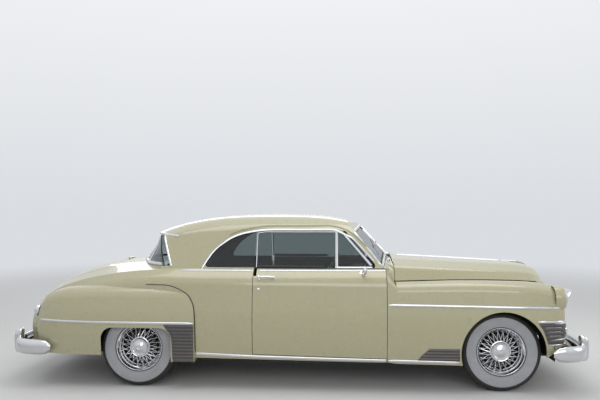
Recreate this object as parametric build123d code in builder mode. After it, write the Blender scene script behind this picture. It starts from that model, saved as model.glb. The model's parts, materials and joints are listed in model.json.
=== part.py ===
"""A 1950s two-door hardtop car, full size, built as the real one is.

Separate fenders, doors, hood and boot lid hang on a hollow body shell, and the
body stands on a ladder frame with its axles. All lengths are millimetres.
+X is forward, +Y is the car's left, +Z is up. The origin is on the ground, in
the middle of the overall length and width.
"""
from math import acos, cos, hypot, radians, sin, tan
import os

from build123d import *

# Overall size and wheels
LENGTH = 5436
WHEELBASE = 3340
FRONT_AXLE_X = 1902
REAR_AXLE_X = FRONT_AXLE_X - WHEELBASE
FRONT_TRACK = 1448
REAR_TRACK = 1514
TYRE_R = 360
TYRE_WIDTH = 206
HUB_BORE_R = 31
SPINDLE_R = 30.95

# Steering
KINGPIN_Y = 640
STEER_ARM = 150

# Body walls and gaps
SIDE_WALL = 90
SKIN = 14
ROOF_WALL = 38
DECK_WALL = 22
PILLAR = 50
PANEL_GAP = 5
SEAT_GAP = 0.3
RUN_GAP = 0.05

# Body heights and side-view lines
BELT_Z = 1100
DOOR_FRONT_X = 864
DOOR_REAR_X = -354
DOOR_BOTTOM_REAR_Z = 332
DOOR_BOTTOM_FRONT_Z = 306
COWL_X = 955
NOSE_X = 2465
TAIL_X = -2560

# Hood and boot lid hinges: a pin across the car's middle, with the lid's barrel between two of the body's
HOOD_AXIS = (957.5, 1197)
LID_AXIS = (-1809.5, 1138)
BARREL_R = 7
HINGE_PIN_R = 3
LID_BARREL_HALF = 24.7
HINGE_HALF = 70

# Glass
GLASS = 6
GLASS_INSET = 10

# Lofts: rounding inside the walls, and the least bend that earns a row between two of a table
INNER_ROUND = 60
LEAST_BEND = 3

# Main body sections, from the front of the doors to the tail.
# Columns: x, then the half section from the top: centre z, upper y z, belt y z,
# shoulder y z, side y z, foot y z.
BODY_SECTIONS = (
    (DOOR_FRONT_X + PANEL_GAP, 1165, 480, 1140, 775, 1100, 890, 1010, 938, 640, 898, 270),
    (420, 1165, 480, 1140, 800, 1100, 905, 1012, 945, 640, 905, 275),
    (-360, 1165, 480, 1140, 803, 1100, 905, 1014, 945, 640, 905, 285),
    (-1000, 1165, 480, 1140, 790, 1098, 888, 1010, 925, 640, 890, 290),
    (-1500, 1160, 450, 1128, 745, 1070, 850, 985, 885, 640, 855, 300),
    (-1900, 1126, 420, 1090, 690, 1010, 800, 905, 845, 640, 815, 310),
    (-2250, 1022, 400, 985, 640, 915, 735, 800, 790, 600, 760, 330),
    (-2450, 900, 380, 868, 600, 808, 690, 715, 735, 560, 700, 350),
    (TAIL_X, 745, 360, 728, 560, 690, 640, 630, 670, 520, 640, 370),
)
BODY_FILLETS = (3000, 500, 40, 160, 900, 25)

GREENHOUSE_FOOT_Z = 1040

# Inset weights for the inner face of each wall, one (across, down) pair a section point
BODY_INSET = ((0, 0.25), (0.2, 0.25), (1, 0.4), (1, 0.3), (1, 0), (1, 0))
SHELL_INSET = ((0, 1), (0.6, 1), (0.2, 1), (1, 0.5), (1, 0), (1, 0))
COWL_INSET = ((0, 1), (1, 1), (0.8, 1), (0.6, 1), (1, 0.3), (1, 0))
HOOD_INSET = ((0, 1), (0.4, 1), (1, 0.6), (1, 0))
ROOF_INSET = ((0, 1), (0.5, 1), (1.3, 0.6), (1.3, 0))

# Roof sections. Columns: x, centre z, crown y z, rail y z, foot y z.
ROOF_SECTIONS = (
    (1000, 1340, 440, 1322, 590, 1240, 800, GREENHOUSE_FOOT_Z),
    (640, 1518, 450, 1496, 605, 1400, 800, GREENHOUSE_FOOT_Z),
    (330, 1594, 460, 1570, 622, 1478, 803, GREENHOUSE_FOOT_Z),
    (-60, 1612, 465, 1588, 630, 1496, 805, GREENHOUSE_FOOT_Z),
    (-500, 1610, 465, 1586, 630, 1494, 803, GREENHOUSE_FOOT_Z),
    (-900, 1577, 455, 1553, 618, 1462, 796, GREENHOUSE_FOOT_Z),
    (-1250, 1498, 430, 1474, 590, 1390, 782, GREENHOUSE_FOOT_Z),
    (-1560, 1370, 400, 1346, 555, 1270, 765, GREENHOUSE_FOOT_Z),
    (-1900, 1190, 370, 1166, 520, 1100, 745, GREENHOUSE_FOOT_Z),
)
ROOF_FILLETS = (3500, 380, 120, 5)

# Windscreen: two flat panes that meet in a V on the centreline
SCREEN_BASE = (940, 0, 1190)
SCREEN_TOP = (645, 0, 1510)
SCREEN_CORNER = (849, 770, 1096)

# Rear window: a bent wall between plan arcs. Columns: z, centre x, end x, end y.
REAR_ARCS = (
    (900, -1790, -1070, 850),
    (1040, -1682, -1129, 830),
    (1440, -1374, -1296, 680),
    (1700, -1374, -1296, 680),
)

# Front sheet metal from the cowl to the nose. Columns: x, then valley centre z,
# valley y z, crown y z, shoulder y z, side y z, foot y z.
FRONT_SECTIONS = (
    (COWL_X, 955, 655, 972, 800, 990, 893, 950, 938, 640, 898, 262),
    (1474, 960, 600, 985, 780, 1005, 886, 962, 934, 640, 898, 255),
    (2000, 955, 520, 975, 762, 1002, 872, 955, 926, 640, 894, 262),
    (2280, 945, 430, 955, 750, 984, 852, 928, 908, 640, 880, 330),
    (2390, 935, 400, 940, 745, 948, 832, 890, 884, 640, 860, 400),
    (2440, 920, 395, 922, 740, 908, 810, 850, 850, 640, 830, 440),
    (NOSE_X, 895, 395, 897, 735, 875, 785, 820, 812, 660, 800, 470),
)
FRONT_FILLETS = (2500, 60, 110, 90, 700, 20)

# Cowl, between the doors' front edge and the hood. Columns as BODY_SECTIONS.
COWL_SECTIONS = (
    BODY_SECTIONS[0],
    (COWL_X, 1192, 600, 1112, 660, 972, 893, 960, 938, 640, 898, 262),
)
COWL_FILLETS = (3000, 30, 8, 30, 700, 20)

# Hood sections. Columns: x, centre z, upper y z, shoulder y z, foot y z.
HOOD_SECTIONS = (
    (COWL_X + PANEL_GAP, 1192, 380, 1172, 600, 1112, 648, 981),
    (1500, 1164, 340, 1146, 540, 1084, 592, 991),
    (2000, 1138, 280, 1120, 450, 1058, 510, 983),
    (2280, 1114, 235, 1096, 365, 1034, 424, 964),
    (2390, 1078, 210, 1060, 310, 1002, 386, 948),
    (2435, 1032, 190, 1018, 280, 972, 376, 932),
)
HOOD_FILLETS = (2500, 260, 70, 12)

# Rear fender. Columns: x, crown y z, shoulder y z, side y z, foot y z.
FENDER_SECTIONS = (
    (-860, 700, 955, 900, 925, 950, 640, 925, 240),
    (-1300, 700, 958, 905, 925, 958, 640, 925, 250),
    (-1800, 690, 952, 895, 918, 955, 640, 915, 300),
    (-2150, 670, 930, 865, 895, 930, 620, 890, 305),
    (-2330, 650, 890, 825, 850, 890, 600, 855, 310),
    (-2410, 640, 835, 790, 790, 850, 590, 825, 320),
    (-2440, 630, 770, 750, 730, 805, 580, 790, 340),
)
FENDER_FILLETS = (60, 130, 900, 20)
FENDER_INNER_Y = 600
REAR_ARCH_TOP_Z = 566
REAR_ARCH_FRONT_X = -1108
REAR_ARCH_REAR_X = -1768
REAR_ARCH_R = 110
FRONT_ARCH_R = 378

# Grille opening, in front view
GRILLE_HOLE = ((660, 470), (660, 668), (440, 668), (385, 870))

# Lamps, frame and floor
LAMP_Y = 760
LAMP_Z = 845
LAMP_R = 112
TAIL_LAMP_Y = 770
TAIL_LAMP_Z = 690
TAIL_LAMP_R = 42
RAIL_Y = 390
RAIL_WIDTH = 80
RAIL_SIDE = (
    (2450, 240), (2450, 329.7), (-1000, 329.7), (-1180, 505.7), (-1700, 505.7), (-1900, 405), (-2470, 365),
    (-2470, 300), (-1860, 330), (-1660, 420), (-1220, 420), (-1040, 190), (1300, 190), (1600, 240),
)
CROSS_MEMBERS = (
    (2405, 250, 80), (2280, 250, 80), (1500, 250, 79.7), (300, 190, 25), (-900, 190, 25), (-1900, 340, 55),
    (-2425, 305, 55),
)
FLOOR_Z = 330
FLOOR_SIDE = (
    (899, FLOOR_Z), (899, FLOOR_Z + 14), (-1006, FLOOR_Z + 14), (-1186, 520), (-2480, 520),
    (-2480, 506), (-1180, 506), (-1000, FLOOR_Z),
)
APRON_Y = 446

# Panes in side view
DOOR_PANE = ((790, BELT_Z + 1.3), (486, 1446), (-284, 1446), (-346, 1434), (-346, BELT_Z + 1.3))
SIDE_INSET = ((0, 0), (0, 0), (1, 0), (1, 0))

# Grille bars. Columns: z, half width, height.
GRILLE_BARS = ((842, 365, 22), (775, 385, 16), (710, 398, 16), (618, 640, 38), (560, 640, 14), (510, 640, 22))
GRILLE_BAR_DEPTH = 52
GRILLE_POSTS = (-560, -450, -330, -210, -90, 90, 210, 330, 450, 560)

DRUM_R = 145

# Wheels: tyre half section about the wheel's middle, columns: across, out from the axis
TYRE_SECTION = ((74, 221), (84, 226), (98, 256), (103, 290), (98, 330), (84, 352), (40, TYRE_R))
TYRE_SIDES = 48
TYRE_BORE_R = 206
RIM_SECTION = (
    (-80, 200), (-80, 218), (-75, 218), (-74.3, 205.7), (-30, 204), (-24, 188), (24, 188), (30, 204),
    (74.3, 205.7), (75, 218), (80, 218), (80, 200), (68, 198),
    (35, 196), (28, 180), (-28, 180), (-35, 196), (-68, 198),
)
HUB_SECTION = (
    (-8, HUB_BORE_R), (-8, 66), (-40, 66), (-40, DRUM_R - 12), (-34, DRUM_R), (-8, DRUM_R), (-2, 76), (6, 76),
    (12, 52), (52, 46), (62, 58), (72, 52), (78, 20), (78, 0), (62, 0), (62, HUB_BORE_R),
)
STUD_PCD = 114.3
STUD_HOLE_R = 7.5
STUD_COUNT = 5
SPOKES = 24

# Steering
STEERING_HUB = (330, 400, 985)
STEERING_WHEEL_R = 215
COLUMN_FOOT = (868, 400, 663)
KINGPIN_R = 12
STEER_ARM_IN = 60
STEER_ARM_Z = 226
RAIL_IN = RAIL_Y - RAIL_WIDTH / 2
RAIL_OUT = RAIL_Y + RAIL_WIDTH / 2
GEARBOX_X = 560
SHAFT_Z = 250
PINION_Z = 300
CARRIER_R = 110

# Seats and dashboard in side view
FRONT_SEAT = (
    (120, 344.6), (190, 440), (190, 540), (-260, 510), (-350, 985), (-450, 985), (-380, 440), (-320, 344.6),
)
REAR_SEAT = (
    (-620, 344.6), (-600, 520), (-1010, 495), (-1110, 985), (-1239.7, 985), (-1239.7, 520.6), (-1186, 520.6),
    (-1006, 344.6),
)
FRONT_SEAT_FILLETS = (1, 30, 50, 30, 45, 40, 40, 1)
REAR_SEAT_FILLETS = (1, 50, 30, 45, 10, 1, 1, 1)
DASHBOARD_HALF = 600
DASHBOARD = ((580, 860), (550, 990), (600, 1039.7), (899.7, 1039.7), (899.7, 1010), (680, 985), (640, 860))

# Bumpers, in plan. Columns: x back from the tip, y.
BUMPER_Z = 302
BUMPER_HEIGHT = 138
BUMPER_DEPTH = 62
FRONT_BUMPER_PLAN = ((28, 0), (36, 520), (70, 800), (230, 925), (406, 935))
REAR_BUMPER_PLAN = ((28, 0), (36, 520), (74, 800), (240, 925), (482, 935))
GUARD_Y = 700
GUARD_TOP_Z = 505
GUARD_FOOT_Z = 268
GUARD_WIDTH = 84


def fitted_radii(points, radii):
    """Corner radii, each held to what its two neighbouring sides have room for."""
    count = len(points)
    fitted = []
    for number, radius in enumerate(radii):
        before, here, after = points[number - 1], points[number], points[(number + 1) % count]
        a = (before[0] - here[0], before[1] - here[1])
        b = (after[0] - here[0], after[1] - here[1])
        cosine = (a[0] * b[0] + a[1] * b[1]) / (hypot(*a) * hypot(*b))
        half_angle = acos(max(-1, min(1, cosine))) / 2
        room = 0.46 * min(hypot(*a), hypot(*b))
        fitted.append(min(radius, room * tan(half_angle)))
    return fitted


def smooth_rows(rows, least=0.0):
    """The table's rows with one more between each two that bend, on a smooth curve through them."""
    slopes = []
    for number in range(len(rows)):
        before, after = rows[max(number - 1, 0)], rows[min(number + 1, len(rows) - 1)]
        slopes.append([(q - p) / (after[0] - before[0]) for p, q in zip(before, after)])
    result = [rows[0]]
    for number in range(1, len(rows)):
        before, after = rows[number - 1], rows[number]
        step = after[0] - before[0]
        bends = [step / 8 * (p - q) for p, q in zip(slopes[number - 1], slopes[number])]
        if max(abs(bend) for bend in bends) >= least:
            result.append(tuple((p + q) / 2 + bend for p, q, bend in zip(before, after, bends)))
        result.append(after)
    return result


def arch_points(row):
    """A half section from a table row made whole, from the right foot over to the left."""
    middle, half = (0, row[1]), list(zip(row[2::2], row[3::2]))
    return [(-y, z) for y, z in reversed(half)] + [middle] + half


def arch_values(values):
    """Values listed from the centreline out, for every point of an arch."""
    return [*reversed(values[1:]), *values]


def inset_arch(points, weights, wall):
    """An arch moved in by a wall, each point by its own share across and down."""
    shares = arch_values(weights)
    return [
        (y - (dy * wall if y > 0 else -dy * wall), z - dz * wall)
        for (y, z), (dy, dz) in zip(points, shares)
    ]


def arch_loft(rows, radii, weights=None, wall=0, drop=0, first=0, last=0):
    """A solid through full-width sections, or an open-bottomed shell if a wall is given."""
    with BuildPart() as solid:
        for number, row in enumerate(rows):
            shift = first if number == 0 else (last if number == len(rows) - 1 else 0)
            outline = arch_points(row)
            corners = [0, *arch_values(radii)[1:-1], 0]
            if wall:
                outline = outline + inset_arch(outline, weights, wall)[::-1]
                corners += [0, *[INNER_ROUND] * (len(corners) - 2), 0]
            outline[0] = (outline[0][0], outline[0][1] - drop)
            half = len(arch_values(radii)) - 1
            outline[half] = (outline[half][0], outline[half][1] - drop)
            with BuildSketch(Plane.YZ.offset(row[0] + shift)):
                with BuildLine():
                    FilletPolyline(*outline, radius=fitted_radii(outline, corners), close=True)
                make_face()
        loft(ruled=True)
    return solid.part


def inner_loft(rows, radii, weights, wall, drop=0, first=0, last=0):
    """The solid space inside an arch's wall, its feet dropped so that it is open below."""
    inner = []
    for row in rows:
        points = inset_arch(arch_points(row), weights, wall)[len(weights) - 1 :]
        inner.append((row[0], points[0][1], *[v for point in points[1:] for v in point]))
    return arch_loft(inner, radii, drop=drop, first=first, last=last)


def end_cap(row, radii, thickness):
    """A flat plate over an arch's end section."""
    with BuildPart() as cap:
        with BuildSketch(Plane.YZ.offset(row[0])):
            with BuildLine():
                outline = arch_points(row)
                corners = [0, *arch_values(radii)[1:-1], 0]
                FilletPolyline(*outline, radius=fitted_radii(outline, corners), close=True)
            make_face()
        extrude(amount=thickness)
    return cap.part


def side_prism(points, radius, y0, y1):
    """A prism across the car from an outline in side view, x forward and z up."""
    with BuildPart() as prism:
        with BuildSketch(Plane((0, y0, 0), x_dir=(1, 0, 0), z_dir=(0, -1, 0))):
            with BuildLine():
                corners = radius if isinstance(radius, (list, tuple)) else [radius] * len(points)
                FilletPolyline(*points, radius=fitted_radii(points, corners), close=True)
            make_face()
        extrude(amount=-(y1 - y0))
    return prism.part


def front_prism(points, radius, x0, x1):
    """A prism along the car from an outline in front view, y to the left and z up."""
    with BuildPart() as prism:
        with BuildSketch(Plane.YZ.offset(x0)):
            with BuildLine():
                FilletPolyline(*points, radius=fitted_radii(points, [radius] * len(points)), close=True)
            make_face()
        extrude(amount=x1 - x0)
    return prism.part


def plan_prism(points, radius, z0, z1):
    """An upright prism from an outline in plan."""
    with BuildPart() as prism:
        with BuildSketch(Plane.XY.offset(z0)):
            with BuildLine():
                FilletPolyline(*points, radius=fitted_radii(points, [radius] * len(points)), close=True)
            make_face()
        extrude(amount=z1 - z0)
    return prism.part


def block(x0, x1, y0, y1, z0, z1):
    """A box by its corners, outside any builder."""
    size = (x1 - x0, y1 - y0, z1 - z0)
    return Pos((x0 + x1) / 2, (y0 + y1) / 2, (z0 + z1) / 2) * Box(*size, mode=Mode.PRIVATE)


def rod(start, end, radius):
    """A round bar between two points, outside any builder."""
    start, end = Vector(*start), Vector(*end)
    run = end - start
    plane = Plane(start, z_dir=run)
    upright = (Align.CENTER, Align.CENTER, Align.MIN)
    return plane.location * Cylinder(radius, run.length, align=upright, mode=Mode.PRIVATE)


def bar(start, end, width):
    """A square bar between two points, outside any builder."""
    start, end = Vector(*start), Vector(*end)
    run = end - start
    upright = (Align.CENTER, Align.CENTER, Align.MIN)
    return Plane(start, z_dir=run).location * Box(width, width, run.length, align=upright, mode=Mode.PRIVATE)


def crossbar(x, z, y0, y1, radius):
    """A round bar across the car."""
    return rod((x, y0, z), (x, y1, z), radius)


def write(builder, label):
    part = builder.part
    part.label = label
    export_step(part, f"parts/{label}.step")
    print(label, len(part.solids()), round(part.volume / 1e6, 1), part.is_valid, flush=True)


os.makedirs("parts", exist_ok=True)

# Body envelopes
body_rows = smooth_rows(BODY_SECTIONS, LEAST_BEND)
roof_rows = smooth_rows(ROOF_SECTIONS, LEAST_BEND)
body_outer = arch_loft(body_rows, BODY_FILLETS)
body_wall = arch_loft(body_rows, BODY_FILLETS, BODY_INSET, SIDE_WALL)
body_skin = arch_loft(body_rows, BODY_FILLETS, SHELL_INSET, DECK_WALL)
cabin_space = inner_loft(body_rows, BODY_FILLETS, BODY_INSET, SIDE_WALL + SEAT_GAP, 200)
front_skin = arch_loft(smooth_rows(FRONT_SECTIONS, LEAST_BEND), FRONT_FILLETS, SHELL_INSET, SKIN)
cowl_skin = arch_loft(COWL_SECTIONS, COWL_FILLETS) - inner_loft(
    COWL_SECTIONS, COWL_FILLETS, COWL_INSET, SKIN, drop=200, first=-1, last=1)
hood_skin = arch_loft(smooth_rows(HOOD_SECTIONS), HOOD_FILLETS, HOOD_INSET, SKIN)
roof_outer = arch_loft(roof_rows, ROOF_FILLETS)
roof_inner = inner_loft(roof_rows, ROOF_FILLETS, ROOF_INSET, ROOF_WALL, 100)


def screen_envelope(back):
    """Everything behind the windscreen's two planes, moved back by a distance."""
    rise = (SCREEN_TOP[0] - SCREEN_BASE[0]) / (SCREEN_TOP[2] - SCREEN_BASE[2])
    foot_x = SCREEN_BASE[0] + rise * (SCREEN_CORNER[2] - SCREEN_BASE[2])
    sweep = (SCREEN_CORNER[0] - foot_x) / SCREEN_CORNER[1]
    with BuildPart() as envelope:
        for z in (900, 1700):
            x = SCREEN_BASE[0] + rise * (z - SCREEN_BASE[2]) - back
            points = ((x, 0), (x + sweep * 900, 900), (-2500, 900), (-2500, -900), (x + sweep * 900, -900))
            with BuildSketch(Plane.XY.offset(z)):
                with BuildLine():
                    Polyline(*points, close=True)
                make_face()
        loft(ruled=True)
    return envelope.part


def rear_envelope(inset):
    """Everything ahead of the rear window's bent wall, moved in by a distance."""
    with BuildPart() as envelope:
        for z, middle, end_x, end_y in REAR_ARCS:
            with BuildSketch(Plane.XY.offset(z)):
                with BuildLine():
                    ends = ((end_x + inset, end_y - inset), (end_x + inset, inset - end_y))
                    ThreePointArc(ends[0], (middle + inset, 0), ends[1])
                    Polyline(ends[1], (end_x + inset, -900), (1400, -900), (1400, 900),
                             (end_x + inset, 900), ends[0])
                make_face()
        loft(ruled=True)
    return envelope.part


greenhouse_outer = roof_outer & screen_envelope(0) & rear_envelope(0)
greenhouse_inner = roof_inner & screen_envelope(PILLAR) & rear_envelope(PILLAR)

# Openings in the body, in side view
DOOR_OUTLINE = (
    (DOOR_FRONT_X, DOOR_BOTTOM_FRONT_Z),
    (DOOR_FRONT_X, BELT_Z + 1),
    (DOOR_REAR_X, BELT_Z + 1),
    (DOOR_REAR_X, DOOR_BOTTOM_REAR_Z),
)
SIDE_WINDOW = ((806, BELT_Z), (494, 1452), (-300, 1452), (-560, 1400), (-750, 1262), (-842, BELT_Z + 10),
               (DOOR_REAR_X - 6, BELT_Z + 10), (DOOR_REAR_X - 6, BELT_Z))
SIDE_WINDOW_FILLETS = (30, 50, 160, 200, 160, 25, 2, 2)
REAR_WINDOW = ((-1166, 1116), (-1284, 1402), (-1500, 1425), (-2000, 1425), (-2000, 1116))
SCREEN_WINDOW = ((14, 1212), (14, 1482), (560, 1432), (716, 1124))
DECK_LID = ((-1812, 500), (-1812, -500), (-2700, -470), (-2700, 470))
DECK_LID_FOOT_Z = 640
FENDER_SIDE = (
    (-890, 254), (-890, 660), (-905, 780), (-960, 872), (-1119, 950), (-1600, 952), (-2141, 928),
    (-2300, 868), (-2385, 780), (-2425, 640), (-2432, 430), (-2400, 306), (-1768, 306), (-1108, 254),
)
REAR_ARCH = (
    (REAR_ARCH_FRONT_X, 100), (REAR_ARCH_FRONT_X, REAR_ARCH_TOP_Z),
    (REAR_ARCH_REAR_X, REAR_ARCH_TOP_Z), (REAR_ARCH_REAR_X, 100),
)


def grown(points, amount):
    """A convex outline with each point moved out from its middle by an amount each way."""
    cx = sum(p[0] for p in points) / len(points)
    cz = sum(p[1] for p in points) / len(points)
    return tuple((x + amount * (1 if x > cx else -1), z + amount * (1 if z > cz else -1)) for x, z in points)


def shrunk(points, amount):
    return grown(points, -amount)


def cut_corners(points, first, last):
    """The outline with these corners each cut to two, a quarter of the way along their sides."""
    result = list(points[:first])
    for number in range(first, last):
        before, here, after = points[number - 1], points[number], points[number + 1]
        result.append(tuple(h + (b - h) / 4 for b, h in zip(before, here)))
        result.append(tuple(h + (a - h) / 4 for a, h in zip(after, here)))
    return [*result, *points[last:]]


# Rear fenders: a D-shaped loft trimmed to its side outline, hollow around the wheel
with BuildPart() as fender_form:
    for x, crown_y, crown_z, shoulder_y, shoulder_z, side_y, side_z, foot_y, foot_z in FENDER_SECTIONS:
        with BuildSketch(Plane.YZ.offset(x)):
            with BuildLine():
                outline = ((FENDER_INNER_Y, foot_z - 60), (FENDER_INNER_Y, crown_z - 6), (crown_y, crown_z),
                           (shoulder_y, shoulder_z), (side_y, side_z), (foot_y, foot_z - 60))
                rounding = fitted_radii(outline, (0.5, 0.5, *FENDER_FILLETS))
                FilletPolyline(*outline, radius=rounding, close=True)
            make_face()
    loft(ruled=True)
fender_trim = side_prism(cut_corners(cut_corners(FENDER_SIDE, 1, 10), 1, 19), 0, 500, 1000)
with BuildPart() as fender_solid:
    add(fender_form.part & fender_trim)
    add(block(-1040, -800, 560, 838, 100, 1100), mode=Mode.SUBTRACT)

with BuildPart() as fender_hollow:
    for x, crown_y, crown_z, shoulder_y, shoulder_z, side_y, side_z, foot_y, foot_z in FENDER_SECTIONS:
        with BuildSketch(Plane.YZ.offset(x)):
            with BuildLine():
                inner_y = FENDER_INNER_Y + SKIN
                outline = ((inner_y, foot_z - 200), (inner_y, crown_z - 24), (crown_y - 6, crown_z - SKIN),
                           (shoulder_y - SKIN, shoulder_z - 8), (side_y - SKIN, side_z),
                           (foot_y - SKIN, foot_z - 200))
                rounding = fitted_radii(outline, (0.5, 0.5, *FENDER_FILLETS))
                FilletPolyline(*outline, radius=rounding, close=True)
            make_face()
    loft(ruled=True)
hollow_trim = side_prism(
    ((-1054, 0), (-1054, 900), (-1150, 936), (-2120, 908),
     (-2280, 850), (-2365, 770), (-2405, 640), (-2412, 0)),
    0, 500, 1000)

with BuildPart() as rear_fender_left:
    add(fender_solid.part)
    add(fender_hollow.part & hollow_trim, mode=Mode.SUBTRACT)
    add(side_prism(REAR_ARCH, REAR_ARCH_R, 640, 1000), mode=Mode.SUBTRACT)
    add(block(REAR_AXLE_X - 72, REAR_AXLE_X + 72, 590, 620, 0, 470), mode=Mode.SUBTRACT)
    add(rod((-2395, TAIL_LAMP_Y, TAIL_LAMP_Z), (-2500, TAIL_LAMP_Y, TAIL_LAMP_Z), TAIL_LAMP_R),
        mode=Mode.SUBTRACT)
with BuildPart() as rear_fender_right:
    mirror(rear_fender_left.part, about=Plane.XZ)
write(rear_fender_left, "rear_fender_left")
write(rear_fender_right, "rear_fender_right")

# Body shell: quarters, roof, pillars, cowl top and sills around a hollow cabin and boot
with BuildPart() as body_shell:
    add(body_wall)
    add(body_outer & block(-1280, -1240, -1000, 1000, 520.3, 1300))
    add(body_outer & block(TAIL_X, TAIL_X + DECK_WALL, -1000, 1000, 200, 1300))
    add(greenhouse_outer - greenhouse_inner - side_prism(REAR_WINDOW, 12, -1000, 1000))
    add(cowl_skin & block(DOOR_FRONT_X - 50, COWL_X + 1, -690, 690, 780, 1300))
    add(greenhouse_inner & block(-1240, 1100, -1000, 1000, 1000, 1700), mode=Mode.SUBTRACT)
    add(block(DOOR_FRONT_X - 4, 1100, -1000, 1000, 0, 800), mode=Mode.SUBTRACT)
    for side in (1, -1):
        near, far = sorted((side * 690, side * 1100))
        add(block(DOOR_FRONT_X, 1100, near, far, 0, BELT_Z + 3), mode=Mode.SUBTRACT)
        add(front_prism([(side * y, z) for y, z in SCREEN_WINDOW], 40, 400, 1200), mode=Mode.SUBTRACT)
    add(side_prism(grown(DOOR_OUTLINE, PANEL_GAP), 12, -1100, 1100), mode=Mode.SUBTRACT)
    add(side_prism(SIDE_WINDOW, SIDE_WINDOW_FILLETS, -1100, 1100), mode=Mode.SUBTRACT)
    add(plan_prism(grown(DECK_LID, PANEL_GAP), 60, DECK_LID_FOOT_Z - PANEL_GAP, 1400), mode=Mode.SUBTRACT)
    add(fender_solid.part, mode=Mode.SUBTRACT)
    mirror(fender_solid.part, about=Plane.XZ, mode=Mode.SUBTRACT)
    for side in (1, -1):
        near, far = sorted((side * 700, side * 835))
        add(block(850, 899.7, near, far, 285, 301))
        add(block(872, 899.7, near, far, 285, 975))
        near, far = sorted((side * 640, side * 710))
        add(block(872, 899.7, near, far, 940, 975))
        near, far = sorted((side * 640, side * 690))
        add(block(872, 899.7, near, far, 940, 1100))
    for (x, z), back in ((HOOD_AXIS, -17), (LID_AXIS, 17)):
        add(crossbar(x, z, -LID_BARREL_HALF - 5, LID_BARREL_HALF + 5, BARREL_R + PANEL_GAP),
            mode=Mode.SUBTRACT)
        for side in (1, -1):
            near, far = sorted((side * (LID_BARREL_HALF + SEAT_GAP), side * HINGE_HALF))
            start, end = sorted((x, x + back))
            add(block(start, end, near, far, z - 16, z))
            add(crossbar(x, z, near, far, BARREL_R))
        add(crossbar(x, z, -HINGE_HALF, HINGE_HALF, HINGE_PIN_R))
write(body_shell, "body_shell")


def lid_barrel(axis, ahead):
    """Notches the open builder's lid round the body's barrels and adds the lid's own, bored for the pin."""
    x, z = axis
    half = LID_BARREL_HALF
    start, end = sorted((x - ahead * 20, x + ahead * 13))
    for near, far in ((half, HINGE_HALF + 5), (-HINGE_HALF - 5, -half)):
        add(block(start, end, near, far, z - 80, z + 80), mode=Mode.SUBTRACT)
    start, end = sorted((x, x + ahead * 18))
    add(block(start, end, -half, half, z - 18, z))
    add(crossbar(x, z, -half, half, BARREL_R))
    add(crossbar(x, z, -half - 1, half + 1, HINGE_PIN_R + RUN_GAP), mode=Mode.SUBTRACT)


# Doors: each as thick as the whole wall
with BuildPart() as door_left:
    add(body_wall & side_prism(DOOR_OUTLINE, 10, 690, 1000))
    add(block(-400, DOOR_REAR_X + 26, 600, 870, 200, 1200), mode=Mode.SUBTRACT)
with BuildPart() as door_right:
    mirror(door_left.part, about=Plane.XZ)
write(door_left, "door_left")
write(door_right, "door_right")

# Boot lid
with BuildPart() as trunk_lid:
    add(body_skin)
    add(body_outer & block(TAIL_X, TAIL_X + DECK_WALL, -1000, 1000, 200, 1300))
    add(plan_prism(DECK_LID, 55, DECK_LID_FOOT_Z, 1400), mode=Mode.INTERSECT)
    lid_barrel(LID_AXIS, -1)
write(trunk_lid, "trunk_lid")

# Hood
with BuildPart() as hood:
    add(hood_skin)
    add(end_cap(HOOD_SECTIONS[-1], HOOD_FILLETS, -SKIN / 2))
    lid_barrel(HOOD_AXIS, 1)
write(hood, "hood")

# Front fenders and the nose panel between them
bay_opening = plan_prism(((1000, 560), (1000, -560), (1500, -540), (2000, -455), (2330, -370), (2330, 370),
                          (2000, 455), (1500, 540)), 20, 600, 1100)
grille_hole = front_prism([*GRILLE_HOLE, *[(-y, z) for y, z in reversed(GRILLE_HOLE)]], 20, 2340, 2500)
with BuildPart() as front_clip:
    add(front_skin)
    add(end_cap(FRONT_SECTIONS[-1], FRONT_FILLETS, -SKIN))
    add(cowl_skin & block(DOOR_FRONT_X + PANEL_GAP, COWL_X + 1, 690.3, 1000, 200, BELT_Z + 3))
    add(cowl_skin & block(DOOR_FRONT_X + PANEL_GAP, COWL_X + 1, -1000, -690.3, 200, BELT_Z + 3))
    add([
        bay_opening,
        grille_hole,
        crossbar(FRONT_AXLE_X, TYRE_R, -1000, -470, FRONT_ARCH_R),
        crossbar(FRONT_AXLE_X, TYRE_R, 470, 1000, FRONT_ARCH_R),
        rod((2380, LAMP_Y, LAMP_Z), (2520, LAMP_Y, LAMP_Z), LAMP_R),
        rod((2380, -LAMP_Y, LAMP_Z), (2520, -LAMP_Y, LAMP_Z), LAMP_R),
    ], mode=Mode.SUBTRACT)
for side, label in ((1, "front_fender_left"), (-1, "front_fender_right")):
    near, far = sorted((side * 395.15, side * 1100))
    with BuildPart() as front_fender:
        add(front_clip.part & block(800, 2600, near, far, 0, 1300))
    write(front_fender, label)
with BuildPart() as nose_panel:
    add(front_clip.part & block(800, 2600, -394.85, 394.85, 0, 1300))
write(nose_panel, "nose_panel")

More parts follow.
